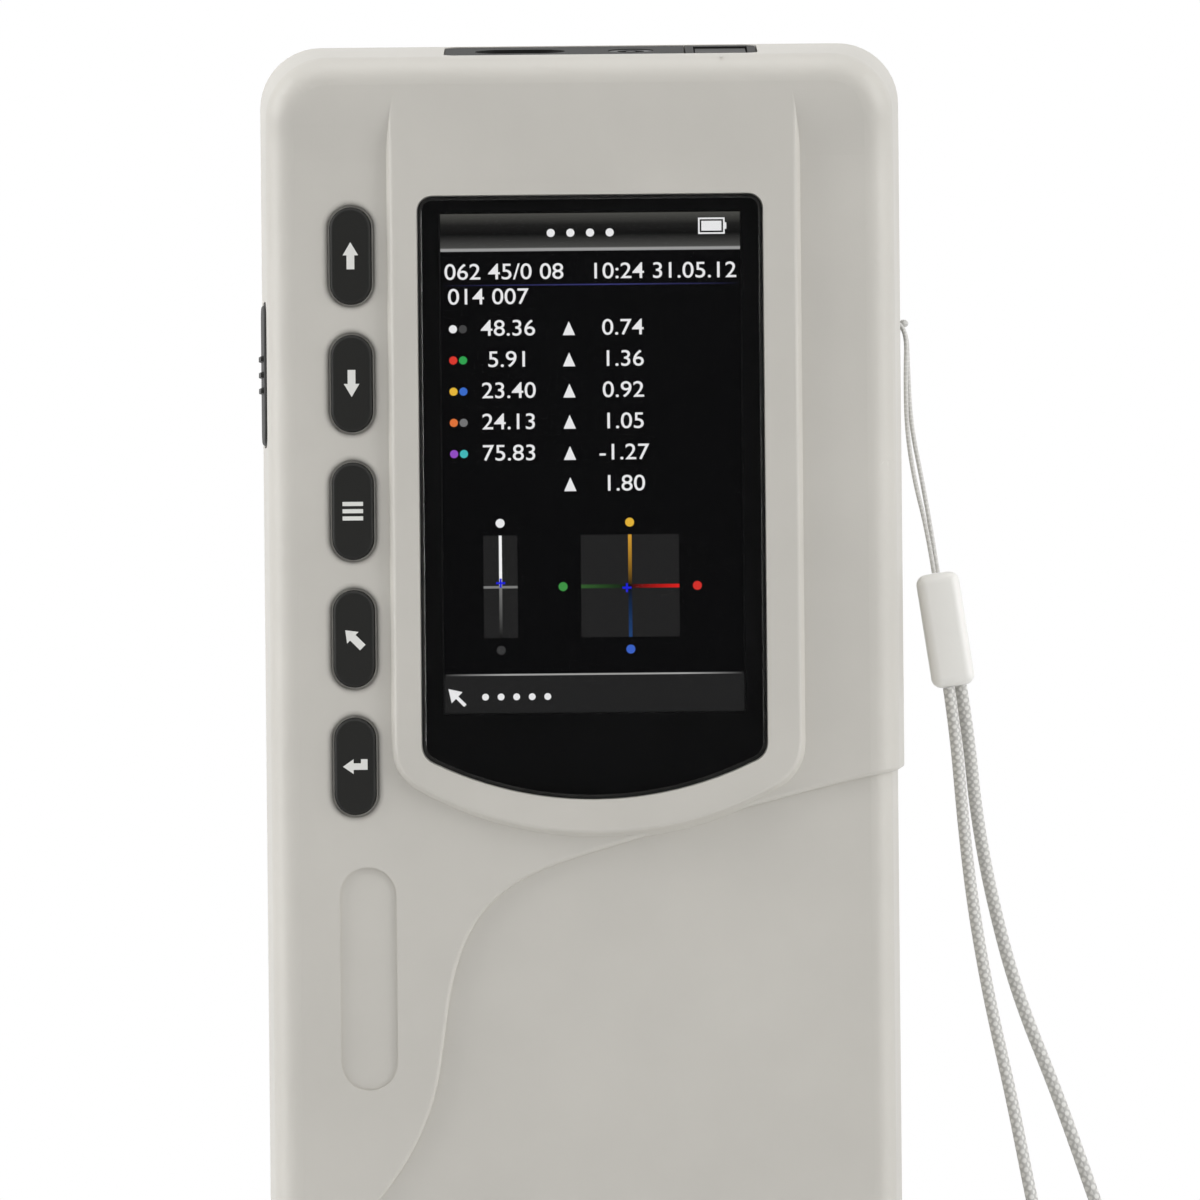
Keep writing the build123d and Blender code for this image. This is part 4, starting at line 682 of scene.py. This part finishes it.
def placed(outline, x, z, turn=0.0):
    """The outline turned by an angle and moved to x, z."""
    return [(x + u * cos(turn) - v * sin(turn), z + u * sin(turn) + v * cos(turn)) for u, v in outline]


def key_centre(key):
    low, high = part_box(key)
    return (low.x + high.x) / 2, (low.z + high.z) / 2


up_arrow = arrow(arrow_length, arrow_width, shaft_width, head_length)
slant_arrow = arrow(length=3.0 * mm, width=2.0 * mm, shaft=shaft_width, head=1.3 * mm)
menu_half = 1.25 * mm
menu_half_height = 0.25 * mm
menu_pitch = 0.88 * mm
menu_heights = (-menu_pitch, 0, menu_pitch)
menu_bars = [bar(-menu_half, z - menu_half_height, menu_half, z + menu_half_height) for z in menu_heights]
hook_arrow = [
    (-1.5, 0), (-0.2, 0.9), (-0.2, 0.4), (0.7, 0.4), (0.7, 0.9), (1.5, 0.9), (1.5, -0.4), (-0.2, -0.4), (-0.2, -0.9),
]
hook_arrow = [(u * mm, v * mm) for u, v in hook_arrow]
key_symbols = {
    "key_up": ([up_arrow], 0.0),
    "key_down": ([up_arrow], pi),
    "key_menu": (menu_bars, 0.0),
    "key_standard": ([slant_arrow], pi / 4),
    "key_enter": ([hook_arrow], 0.0),
}
for key, (outlines, turn) in key_symbols.items():
    x, z = key_centre(key)
    shapes = [placed(outline, x, z, turn) for outline in outlines]
    key_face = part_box(key)[0].y - ink_thickness
    printed(key + "_symbol", shapes, key_face, symbol_grey, key + "_body")
print("key symbols:", len(key_symbols))

# %% [markdown]
# Each key comes through a hole whose lip fits it closely, so that only a hair of darkness shows round it. The
# lip is a flat band between two outlines of the key's own form, one grown more than the other.

# %% Lips of the key holes
lip_depth = 1.3 * mm
lip_gap = 0.07 * mm
lip_reach = 0.32 * mm
key_flange = 1.1 * mm


def stadium(low, high, grow, corners=24):
    """The outline of an upright slot that fills a box, grown on all sides."""
    radius = (high.x - low.x) / 2 - key_flange + grow
    middle_x = (low.x + high.x) / 2
    shoulder = (high.z - low.z) / 2 - key_flange + grow - radius
    outline = []
    for half, middle_z in ((0, (low.z + high.z) / 2 + shoulder), (1, (low.z + high.z) / 2 - shoulder)):
        for n in range(corners + 1):
            turn = pi * (half + n / corners)
            outline.append((middle_x + radius * cos(turn), middle_z + radius * sin(turn)))
    return outline


def band(name, pairs, y, material, body):
    """Flat bands at this y, each between an outer and an inner outline with as many corners."""
    outlines = []
    for outer, inner in pairs:
        for n in range(len(outer)):
            after = (n + 1) % len(outer)
            outlines.append([outer[n], outer[after], inner[after], inner[n]])
    return printed(name, outlines, y, material, body)


lips = [(stadium(*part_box(key), lip_reach), stadium(*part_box(key), lip_gap)) for key in key_symbols]
lip_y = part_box("key_up")[0].y + lip_depth
band("key_hole_lips", lips, lip_y, housing_plastic, main_body)
print("key hole lips:", len(lips))

# %% [markdown]
# ## The power rocker
#
# Seen from the front, the rocker lies level with the sloped top and does not break its line. Its piece starts
# from the mesh of the solid, and whatever stands above the slope is pressed down to just under it.

# %% A rocker level with the slope
slope = radians(7.5)
slope_up = Vector((0, -sin(slope), cos(slope)))
rocker_level = -0.25 * mm
rocker_share = 0.1


def pressed_level(bm, level, share):
    """What stands above this level over the slope keeps only this share of its height above it."""
    for vertex in bm.verts:
        height = (vertex.co - slope_front).dot(slope_up)
        if height > level:
            vertex.co -= slope_up * (height - level) * (1 - share)


panel_low, panel_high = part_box("connector_panel")
rocker_low, rocker_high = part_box("power_rocker")
slope_front = Vector((0, panel_low.y, panel_high.z - (panel_high.y - panel_low.y) * sin(slope)))
bm = bmesh.new()
bm.from_mesh(nodes["power_rocker"].data)
pressed_level(bm, rocker_level, rocker_share)
rocker_mesh = bpy.data.meshes.new("rocker_key")
bm.to_mesh(rocker_mesh)
bm.free()
rocker_key = add_piece("rocker_key", rocker_mesh, key_plastic, "power_rocker_body")
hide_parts("power_rocker")
print("rocker corners:", len(rocker_mesh.vertices))

# %% [markdown]
# On the real key a line and a ring say on and off, and a barrel socket has a bright pin in its middle. These
# three pieces stand 6.6 mm too far forward, because their places start from slope_front, the front edge of the
# panel, and not from its middle. So the line and the pin are out of sight inside the housing, and the ring only
# reaches the rocker's edge. To show them, on_slope would have to start from the middle of the panel.

# %% On, off and the pin of the socket
slope_along = Vector((0, cos(slope), sin(slope)))
rocker_front = Vector(((rocker_low.x + rocker_high.x) / 2, slope_front.y, slope_front.z))
mark_reach = 2.5 * mm
on_height = -0.09 * mm
off_height = -0.18 * mm
mark_half = 0.8 * mm
line_half = 0.12 * mm
ring_outer = disc(0, 0, mark_half)
ring_inner = disc(0, 0, 0.55 * mm)


def on_slope(start, along, height):
    """A place so far along the slope from the start, and so high over it."""
    return start + slope_along * along + slope_up * height


across = Vector((1, 0, 0))
laid("rocker_on", [bar(-line_half, -mark_half, line_half, mark_half)],
     on_slope(rocker_front, -mark_reach, on_height), across, slope_along,
     symbol_grey, "power_rocker_body")
ring = []
for n in range(len(ring_outer)):
    after = (n + 1) % len(ring_outer)
    ring.append([ring_outer[n], ring_outer[after], ring_inner[after], ring_inner[n]])
laid("rocker_off", ring, on_slope(rocker_front, mark_reach, off_height), across, slope_along,
     symbol_grey, "power_rocker_body")
print("marks: 2")


# %% [markdown]
# A pin is a cone with two equal ends. Its end edges are the ones that don't run along it, so they can be picked
# by how little they climb, and then softened.

# %% A round post
def turned_post(name, foot, direction, radius, length, material, body, bevel):
    """A round post from its foot along a direction, with a softened edge."""
    bm = bmesh.new()
    bmesh.ops.create_cone(bm, cap_ends=True, segments=32, radius1=radius, radius2=radius, depth=length)
    ends = [edge for edge in bm.edges if abs(edge.verts[0].co.z - edge.verts[1].co.z) < length / 10]
    bmesh.ops.bevel(bm, geom=ends, offset=bevel, segments=3, affect="EDGES", profile=0.5)
    bmesh.ops.translate(bm, verts=bm.verts, vec=(0, 0, length / 2))
    bm.transform(Matrix.Translation(foot) @ direction.to_track_quat("Z", "Y").to_matrix().to_4x4())
    mesh = bpy.data.meshes.new(name)
    bm.to_mesh(mesh)
    bm.free()
    mesh.polygons.foreach_set("use_smooth", [True] * len(mesh.polygons))
    return add_piece(name, mesh, material, body)


jack_x = 6.4 * mm
jack_depth = 5.9 * mm
jack_foot = on_slope(Vector((jack_x, slope_front.y, slope_front.z)), 0, -jack_depth)
turned_post("jack_pin", jack_foot, slope_up, 0.66 * mm, 5.3 * mm, tinned_sheet, main_body, 0.2 * mm)
print("pins: 1")

# %% [markdown]
# ## Screw recesses
#
# The four case screws sit deep in the back. The cross driven into each head is shown as two flat dark bars: painted
# shade where the hollow of the cross is dark.

# %% Screw recesses
screw_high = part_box("case_screws")[1]
# Painted shade: this near-black stands for the shade inside the cross hollows.
cross_shade_paint = moulded("cross_shade_paint", seen(18, 18, 18), 0.8, 0.2 * mm, 0.004 * mm)
cross_long = 1.5 * mm
cross_half = 0.28 * mm
case_screw_places = [(-0.030, 0.1962), (0.030, 0.1962), (-0.032, 0.060), (0.032, 0.060)]
cross_turn = pi / 5
cross_bars = (
    bar(-cross_long, -cross_half, cross_long, cross_half),
    bar(-cross_half, -cross_long, cross_half, cross_long),
)
crosses = []
for x, z in case_screw_places:
    for outline in cross_bars:
        crosses.append(placed(outline, -x, z, cross_turn))
head_face = Vector((0, screw_high.y + ink_thickness, 0))
laid("case_screw_cross_shade", crosses, head_face, Vector((-1, 0, 0)), Vector((0, 0, 1)),
     cross_shade_paint, main_body)
print("screw recesses:", len(case_screw_places))

# %% [markdown]
# ## The black border behind the window
#
# The back of the window is printed black all round the display, which is why the frame looks like one dark
# sheet. The print has the outline of the window itself, so it starts from a copy of the window's own mesh: the
# back face is kept, four cuts mark the display, and the patch between them is taken out.

# %% Black border
screen_left = -17.1 * mm
screen_top = 183.775 * mm
screen_width = 36.6 * mm
screen_height = 60.95 * mm
border_lap = 0.15 * mm
merge_reach = 0.001 * mm

border_ink = new_finish("border_ink", seen(12, 12, 13), 0.4)
drift_colour(border_ink, grain(border_ink, 12 * mm), seen(10, 10, 11), seen(14, 14, 15))
shader_of(border_ink).inputs["Specular IOR Level"].default_value = 0.08


def keep_back_face(bm):
    """Only the faces that look to +Y at the back of the window stay."""
    bmesh.ops.remove_doubles(bm, verts=bm.verts, dist=merge_reach)
    front = [face for face in bm.faces if face.normal.y < 0.9]
    bmesh.ops.delete(bm, geom=front, context="FACES")


def cut_opening(bm, left, right, low, high):
    """Four straight cuts, then the patch between them goes."""
    for place, direction in (
        ((left, 0, 0), (1, 0, 0)), ((right, 0, 0), (1, 0, 0)), ((0, 0, low), (0, 0, 1)), ((0, 0, high), (0, 0, 1)),
    ):
        everything = bm.verts[:] + bm.edges[:] + bm.faces[:]
        bmesh.ops.bisect_plane(bm, geom=everything, dist=1e-7, plane_co=place, plane_no=direction)
    inside = []
    for face in bm.faces:
        middle = face.calc_center_median()
        if left < middle.x < right and low < middle.z < high:
            inside.append(face)
    bmesh.ops.delete(bm, geom=inside, context="FACES")


bm = bmesh.new()
bm.from_mesh(nodes["display_window"].data)
keep_back_face(bm)
cut_opening(
    bm,
    screen_left - border_lap,
    screen_left + screen_width + border_lap,
    screen_top - screen_height - border_lap,
    screen_top + border_lap,
)
bmesh.ops.translate(bm, verts=bm.verts, vec=(0, -ink_thickness, 0))
bmesh.ops.reverse_faces(bm, faces=bm.faces)
border_mesh = bpy.data.meshes.new("window_border")
bm.to_mesh(border_mesh)
bm.free()
add_piece("window_border", border_mesh, border_ink, main_body)
print("border faces:", len(border_mesh.polygons))

# %% [markdown]
# ## The picture on the display
#
# The display glows, so its colours are emitted and not lit. An emission strength of 1 shows a colour as it is
# written. A plain colour needs only the shader's own socket. A fade, such as the bar across the top, reads the
# position on the piece along one axis and looks the colour up in a ramp.

# %% Glowing colours
def glow(name, colour):
    """A plain colour that the display emits."""
    material = new_finish(name, (0.0, 0.0, 0.0), 0.3)
    shader_of(material).inputs["Emission Color"].default_value = (*colour, 1)
    shader_of(material).inputs["Emission Strength"].default_value = 1.0
    shader_of(material).inputs["Specular IOR Level"].default_value = 0.08
    drift_roughness(material, grain(material, 0.2 * mm), 0.26, 0.34)
    return material


def fading_glow(name, axis, start, end, stops):
    """A fade between colours along one axis, from start to end, with stops of (share, colour)."""
    material = glow(name, (0.0, 0.0, 0.0))
    links = material.node_tree.links
    place = add_node(material, "ShaderNodeTexCoord")
    split = add_node(material, "ShaderNodeSeparateXYZ")
    reach = add_node(material, "ShaderNodeMapRange")
    reach.inputs["From Min"].default_value = start
    reach.inputs["From Max"].default_value = end
    ramp = add_node(material, "ShaderNodeValToRGB")
    elements = ramp.color_ramp.elements
    while len(elements) < len(stops):
        elements.new(0.5)
    for element, (share, colour) in zip(elements, stops):
        element.position = share
        element.color = (*colour, 1)
    links.new(place.outputs["Object"], split.inputs["Vector"])
    links.new(split.outputs[axis], reach.inputs["Value"])
    links.new(reach.outputs["Result"], ramp.inputs["Fac"])
    links.new(ramp.outputs["Color"], shader_of(material).inputs["Emission Color"])
    return material


glow_white = glow("glow_white", seen(240, 240, 240))
glow_dark = glow("glow_dark", seen(3, 3, 4))
glow_chart = glow("glow_chart", seen(33, 33, 33))
glow_line = glow("glow_line", seen(128, 128, 126))
glow_blue = glow("glow_blue", seen(28, 34, 220))
print("glowing colours: 5")

# %% [markdown]
# Places on the display are measured from its top left corner, to the right and down, as an interface designer
# would give them. Later layers stand a hair in front of earlier ones, so that nothing flickers where two
# shapes overlap.

# %% Places on the display
display_face_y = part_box("lcd_module")[0].y + 0.2 * mm
layer_step = 0.02 * mm


def on_screen(across, down):
    """The x and z of a place measured in millimetres from the display's top left corner."""
    return screen_left + across * mm, screen_top - down * mm


def screen_bar(left, top, right, bottom):
    x0, z1 = on_screen(left, top)
    x1, z0 = on_screen(right, bottom)
    return bar(x0, z0, x1, z1)


def show(name, outlines, material, layer):
    """Shapes on the display, in the given layer."""
    y = display_face_y - layer * layer_step
    return printed("display_" + name, outlines, y, material, main_body)


show("ground", [screen_bar(0, 0, 36.6, 60.95)], glow_dark, 1)
print("display layer step:", layer_step / mm, "mm")

# %% [markdown]
# The bar across the top is a dark metal-like fade with a light line under it, and a battery sign at its right
# end. The bar at the bottom is plain grey under a thin light line that dies away to both sides.

# %% Bars at the top and bottom of the display
top_bar_height = 4.6
bottom_bar_top = 56.3
bar_left = on_screen(0, 0)[0]
bar_right = on_screen(36.6, 0)[0]

top_fade = fading_glow(
    "top_fade", "Z", on_screen(0, top_bar_height)[1], on_screen(0, 0)[1],
    [(0.0, seen(150, 150, 150)), (0.06, seen(165, 165, 163)), (0.1, seen(74, 74, 72)), (0.45, seen(12, 12, 12)),
     (0.7, seen(30, 30, 29)), (1.0, seen(78, 78, 74))],
)
line_fade = fading_glow(
    "line_fade", "X", bar_left, bar_right,
    [(0.0, seen(40, 40, 40)), (0.2, seen(170, 170, 168)), (0.8, seen(170, 170, 168)), (1.0, seen(40, 40, 40))],
)
blue_fade = fading_glow(
    "blue_fade", "X", bar_left, bar_right,
    [(0.0, seen(10, 10, 16)), (0.55, seen(58, 60, 120)), (1.0, seen(10, 10, 16))],
)
show("top_bar", [screen_bar(0, 0, 36.6, top_bar_height)], top_fade, 2)
show("bottom_bar", [screen_bar(0, bottom_bar_top, 36.6, 60.95)], glow_chart, 2)
show("bottom_line", [screen_bar(0.2, bottom_bar_top - 0.1, 36.4, bottom_bar_top + 0.1)], line_fade, 3)
show("status_line", [screen_bar(0.2, 8.65, 36.4, 8.8)], blue_fade, 2)
battery_outline = [
    screen_bar(31.5, 0.7, 34.75, 0.9), screen_bar(31.5, 2.5, 34.75, 2.7), screen_bar(31.5, 0.9, 31.7, 2.5),
    screen_bar(34.55, 0.9, 34.75, 2.5), screen_bar(34.75, 1.3, 34.95, 2.1), screen_bar(31.9, 1.1, 34.35, 2.3),
]
show("battery_sign", battery_outline, glow_white, 3)
print("display bars: 2")

# %% [markdown]
# The readings are plain numbers in two columns. Text in Blender is a curve with a font, so each number is
# written as a text object, turned upright, and then frozen to a mesh whose place is in its vertices. The
# numbers belong together: the fourth is the length of the second and third taken as two sides of a right
# angle, and the last difference is the length of the first three.

# %% Numbers on the display
digit_size = 2.76 * mm
digit_stretch = 1.1
digit_boldness = 0.008 * mm


def number(text, across, down, size=digit_size, align="CENTER"):
    """A number centred on a place on the display, as a mesh."""
    x, z = on_screen(across, down)
    words = bpy.data.curves.new("number", "FONT")
    words.body = text
    words.size = size
    words.offset = digit_boldness
    words.align_x = align
    words.align_y = "CENTER"
    carrier = bpy.data.objects.new("number", words)
    scene.collection.objects.link(carrier)
    mesh = evaluated_mesh(carrier)
    bpy.data.objects.remove(carrier)
    y = display_face_y - 3 * layer_step
    wider = Matrix.Diagonal((digit_stretch, 1, 1, 1))
    mesh.transform(Matrix.Translation((x, y, z)) @ Matrix.Rotation(pi / 2, 4, "X") @ wider)
    return mesh


def show_numbers(name, meshes):
    """Several numbers as one piece."""
    bm = bmesh.new()
    for mesh in meshes:
        bm.from_mesh(mesh)
    joined = bpy.data.meshes.new(name)
    bm.to_mesh(joined)
    bm.free()
    return add_piece("display_" + name, joined, glow_white, main_body)


first_row = 14.05
row_pitch = 3.81
readings = ["48.36", "5.91", "23.40", "24.13", "75.83"]
differences = ["0.74", "1.36", "0.92", "1.05", "-1.27", "1.80"]
rows = [first_row + row_pitch * n for n in range(len(differences))]
show_numbers("readings", [number(text, 8.2, down) for text, down in zip(readings, rows)])
show_numbers("differences", [number(text, 22.2, down) for text, down in zip(differences, rows)])
show_numbers("status", [
    number("062 45/0 08", 0.4, 7.17, align="LEFT"),
    number("10:24 31.05.12", 36.2, 7.17, align="RIGHT"),
    number("014 007", 0.8, 10.2, align="LEFT"),
])
print("numbers shown:", len(readings) + len(differences) + 3)

# %% [markdown]
# In front of each reading stands a small sign: two half-tone dots for the scale that the row measures. In front
# of each difference stands a triangle.

# %% Row signs
row_tones = {
    "light": (seen(240, 240, 240), seen(70, 70, 70)),
    "red": (seen(224, 60, 48), seen(52, 168, 83)),
    "yellow": (seen(238, 190, 60), seen(60, 110, 205)),
    "chroma": (seen(230, 120, 60), seen(120, 120, 120)),
    "hue": (seen(150, 80, 200), seen(70, 190, 190)),
}
triangle = [(-0.75 * mm, -0.85 * mm), (0.75 * mm, -0.85 * mm), (0, 0.85 * mm)]
for (tone, (left_colour, right_colour)), down in zip(row_tones.items(), rows):
    x, z = on_screen(2.0, down)
    left_glow = glow("glow_" + tone, left_colour)
    right_glow = glow("glow_" + tone + "_other", right_colour)
    show("sign_" + tone, [disc(x - 0.55 * mm, z, 0.5 * mm)], left_glow, 3)
    show("sign_" + tone + "_other", [disc(x + 0.65 * mm, z, 0.5 * mm)], right_glow, 3)
triangles = [placed(triangle, *on_screen(15.6, down)) for down in rows]
show("difference_signs", triangles, glow_white, 3)
print("row signs:", 2 * len(row_tones) + len(triangles))

# %% [markdown]
# Below the numbers are two small charts on grey fields. The narrow one runs from white at the top to black.
# The wide one has a coloured arm in each direction, and each arm fades to nothing at the crossing. A blue
# cross marks where the reading lies. A dot of the arm's colour stands at the end of each arm.

# %% Charts
chart_top = 39.3
chart_bottom = 51.8
chart_middle = 45.6
narrow_left, narrow_right, narrow_axis = 4.9, 9.05, 6.98
wide_left, wide_right, wide_axis = 16.8, 28.8, 22.8
arm = 0.22

show("chart_fields", [
    screen_bar(narrow_left, chart_top, narrow_right, chart_bottom),
    screen_bar(wide_left, chart_top, wide_right, chart_bottom),
], glow_chart, 2)
show("chart_level", [screen_bar(narrow_left, chart_middle - 0.15, narrow_right, chart_middle + 0.15)], glow_line, 3)


def chart_arm(name, colour, axis, corners, inner, outer):
    """An arm of a chart that fades in from the crossing to its outer end."""
    stops = [(0.0, seen(12, 12, 12)), (0.35, shade(colour, 0.35)), (1.0, colour)]
    fade = fading_glow(name + "_fade", axis, inner, outer, stops)
    show(name, [screen_bar(*corners)], fade, 3)


crossing_x, crossing_z = on_screen(wide_axis, chart_middle)
chart_arm("arm_yellow", seen(214, 158, 52), "Z", (wide_axis - arm, chart_top, wide_axis + arm, chart_middle),
          crossing_z, on_screen(0, chart_top)[1])
chart_arm("arm_blue", seen(32, 66, 116), "Z", (wide_axis - arm, chart_middle, wide_axis + arm, chart_bottom),
          crossing_z, on_screen(0, chart_bottom)[1])
chart_arm("arm_red", seen(226, 34, 30), "X", (wide_axis, chart_middle - arm, wide_right, chart_middle + arm),
          crossing_x, on_screen(wide_right, 0)[0])
chart_arm("arm_green", seen(50, 92, 44), "X", (wide_left, chart_middle - arm, wide_axis, chart_middle + arm),
          crossing_x, on_screen(wide_left, 0)[0])
chart_arm("arm_light", seen(252, 252, 252), "Z", (narrow_axis - 0.18, chart_top, narrow_axis + 0.18, chart_middle),
          on_screen(0, chart_middle + 1.5)[1], on_screen(0, chart_top + 5)[1])
chart_arm("arm_dark", seen(120, 120, 118), "Z", (narrow_axis - 0.18, chart_middle, narrow_axis + 0.18, chart_bottom),
          on_screen(0, chart_bottom)[1], on_screen(0, chart_middle)[1])
print("chart arms: 6")

# %% [markdown]
# The crosses that mark a reading lie one layer further forward than the arms that they cross. An arrow and two
# rows of small dots fill the bars at the top and the bottom.

# %% Marks and dots of the charts
def cross(across, down, reach=0.55, half=0.13):
    return [
        screen_bar(across - reach, down - half, across + reach, down + half),
        screen_bar(across - half, down - reach, across + half, down + reach),
    ]


def dot(name, across, down, colour, radius=0.55):
    show(name, [disc(*on_screen(across, down), radius * mm)], glow("glow_" + name, colour), 3)


show("reading_marks", cross(narrow_axis, 45.1), glow_blue, 4)
show("reading_marks_wide", cross(22.4, 45.8), glow_blue, 4)
dot("dot_white", narrow_axis, 37.8, seen(240, 240, 240))
dot("dot_black", narrow_axis, 53.3, seen(58, 58, 58))
dot("dot_yellow", wide_axis, 37.8, seen(232, 184, 60))
dot("dot_blue", wide_axis, 53.3, seen(60, 100, 200))
dot("dot_green", 14.6, chart_middle, seen(64, 150, 70))
dot("dot_red", 31.0, chart_middle, seen(214, 50, 44))
corner_arrow = placed(arrow(2.9 * mm, 1.9 * mm, 0.42 * mm, 1.5 * mm), *on_screen(1.5, 59.0), pi / 4)
show("corner_arrow", [corner_arrow], glow_white, 3)
show("page_dots", [disc(*on_screen(5.0 + 1.9 * n, 59.0), 0.42 * mm) for n in range(5)], glow_white, 3)
show("title_dots", [disc(*on_screen(13.5 + 2.4 * n, 2.4), 0.5 * mm) for n in range(4)], glow_white, 3)
print("dots and marks: 10")

# %% [markdown]
# ## Floor and light
#
# The photograph is a product shot on white. The floor is pale and matt, so that the instrument's shadow shows
# near its base, and away from it the floor turns into the white that the camera sees all round. Camera, mirror
# and glass rays get that white in full. As light on the instrument it counts for about a third, or the pale
# housing would wash out.

# %% White surroundings
def seen_directly(tree):
    """1 where the camera, a reflection or a clear part looks at the surroundings, and 0 for light itself."""
    path = tree.nodes.new("ShaderNodeLightPath")
    total = path.outputs["Is Camera Ray"]
    for name in ("Is Glossy Ray", "Is Transmission Ray"):
        either = tree.nodes.new("ShaderNodeMath")
        either.operation = "MAXIMUM"
        tree.links.new(total, either.inputs[0])
        tree.links.new(path.outputs[name], either.inputs[1])
        total = either.outputs["Value"]
    return total


# %% [markdown]
# A dark window shows what stands opposite: the dark half of the studio, where the photographer is. So a
# reflection that looks towards -Y, away from the front of the instrument, meets darkness instead of white.

# %% The dark half of the studio
def unlit_front(tree, strength):
    """The strength as it is, but nearly 0 for a reflection that looks straight out of the front."""
    path = tree.nodes.new("ShaderNodeLightPath")
    direction = tree.nodes.new("ShaderNodeTexCoord")
    split = tree.nodes.new("ShaderNodeSeparateXYZ")
    dimming = tree.nodes.new("ShaderNodeMapRange")
    dimming.inputs["From Min"].default_value = -0.95
    dimming.inputs["From Max"].default_value = -0.75
    dimming.inputs["To Min"].default_value = 0.03
    dimming.inputs["To Max"].default_value = 1.0
    choice = tree.nodes.new("ShaderNodeMix")
    choice.inputs["A"].default_value = 1.0
    product = tree.nodes.new("ShaderNodeMath")
    product.operation = "MULTIPLY"
    tree.links.new(direction.outputs["Generated"], split.inputs["Vector"])
    tree.links.new(split.outputs["Y"], dimming.inputs["Value"])
    tree.links.new(path.outputs["Is Glossy Ray"], choice.inputs["Factor"])
    tree.links.new(dimming.outputs["Result"], choice.inputs["B"])
    tree.links.new(strength, product.inputs[0])
    tree.links.new(choice.outputs["Result"], product.inputs[1])
    return product.outputs["Value"]


world = bpy.data.worlds.new("studio")
scene.world = world
world.use_nodes = True
fill_level = 0.36
background = world.node_tree.nodes["Background"]
background.inputs["Color"].default_value = (1, 1, 1, 1)
level = world.node_tree.nodes.new("ShaderNodeMapRange")
level.inputs["To Min"].default_value = fill_level
level.inputs["To Max"].default_value = 1.0
world.node_tree.links.new(seen_directly(world.node_tree), level.inputs["Value"])
world.node_tree.links.new(unlit_front(world.node_tree, level.outputs["Result"]), background.inputs["Strength"])
print("fill level:", fill_level)

# %% The pale part of the floor
floor_reach = 6.0
shadow_reach = 0.35
white_from = 0.8

floor_paper = new_finish("floor_paper", (0.82, 0.82, 0.82), 0.9)
drift_roughness(floor_paper, grain(floor_paper, 1 * mm), 0.85, 0.95)
floor_tree = floor_paper.node_tree
paper_shader = shader_of(floor_paper)
white_light = add_node(floor_paper, "ShaderNodeEmission")
blend_floor = add_node(floor_paper, "ShaderNodeMixShader")
distance = add_node(floor_paper, "ShaderNodeVectorMath")
distance.operation = "LENGTH"
fade_out = add_node(floor_paper, "ShaderNodeMapRange")
fade_out.inputs["From Min"].default_value = shadow_reach
fade_out.inputs["From Max"].default_value = white_from
place = add_node(floor_paper, "ShaderNodeTexCoord")
both = add_node(floor_paper, "ShaderNodeMath")
both.operation = "MULTIPLY"
for source, target in (
    (place.outputs["Object"], distance.inputs[0]),
    (distance.outputs["Value"], fade_out.inputs["Value"]),
    (fade_out.outputs["Result"], both.inputs[0]),
    (seen_directly(floor_tree), both.inputs[1]),
    (both.outputs["Value"], blend_floor.inputs["Fac"]),
    (paper_shader.outputs["BSDF"], blend_floor.inputs[1]),
    (white_light.outputs["Emission"], blend_floor.inputs[2]),
):
    floor_tree.links.new(source, target)
print("floor turns white from", shadow_reach, "to", white_from, "m")

# %% [markdown]
# A mirror ray that meets the floor far out in front sees darkness too, as it does in the surroundings.

# %% The dark front of the floor
dark_front = add_node(floor_paper, "ShaderNodeMapRange")
dark_front.inputs["From Min"].default_value = -0.5
dark_front.inputs["From Max"].default_value = -1.0
floor_split = add_node(floor_paper, "ShaderNodeSeparateXYZ")
floor_rays = add_node(floor_paper, "ShaderNodeLightPath")
mirrored_front = add_node(floor_paper, "ShaderNodeMath")
mirrored_front.operation = "MULTIPLY"
no_light = add_node(floor_paper, "ShaderNodeEmission", strength=0.0)
hide_front = add_node(floor_paper, "ShaderNodeMixShader")
for source, target in (
    (place.outputs["Object"], floor_split.inputs["Vector"]),
    (floor_split.outputs["Y"], dark_front.inputs["Value"]),
    (dark_front.outputs["Result"], mirrored_front.inputs[0]),
    (floor_rays.outputs["Is Glossy Ray"], mirrored_front.inputs[1]),
    (mirrored_front.outputs["Value"], hide_front.inputs["Fac"]),
    (blend_floor.outputs["Shader"], hide_front.inputs[1]),
    (no_light.outputs["Emission"], hide_front.inputs[2]),
    (hide_front.outputs["Shader"], floor_tree.nodes["Material Output"].inputs["Surface"]),
):
    floor_tree.links.new(source, target)

bm = bmesh.new()
bmesh.ops.create_grid(bm, x_segments=4, y_segments=4, size=floor_reach)
floor_mesh = bpy.data.meshes.new("floor")
bm.to_mesh(floor_mesh)
bm.free()
floor_mesh.materials.append(floor_paper)
floor = bpy.data.objects.new("floor", floor_mesh)
scene.collection.objects.link(floor)
print("floor:", 2 * floor_reach, "m across")

# %% [markdown]
# Two tall soft boxes stand to the left and right, a little in front of the instrument, because in the photograph
# the sides and the rounded edges are lighter than the face. A third hangs overhead. A weak wide one near the
# camera keeps the face from going grey, and stays out of reflections so that the window is dark.

# %% Soft boxes
def soft_box(name, place, aim, width, height, power):
    light = bpy.data.lights.new(name, "AREA")
    light.shape = "RECTANGLE"
    light.size = width
    light.size_y = height
    light.energy = power
    holder = bpy.data.objects.new(name, light)
    holder.location = place
    holder.rotation_euler = (Vector(aim) - Vector(place)).to_track_quat("-Z", "Y").to_euler()
    scene.collection.objects.link(holder)
    return holder


middle = (0, 0, 0.12)
soft_box("left_box", (-1.1, -0.15, 0.5), middle, 0.5, 1.2, 9.3)
soft_box("right_box", (1.1, -0.42, 0.5), middle, 0.6, 1.2, 7.8)
soft_box("top_box", (0, -0.2, 1.3), middle, 1.0, 0.8, 5.0)
soft_box("front_box", (0.5, -1.5, 0.7), middle, 1.2, 0.8, 2.0).visible_glossy = False
scene.view_settings.view_transform = "Standard"
print("soft boxes: 4")
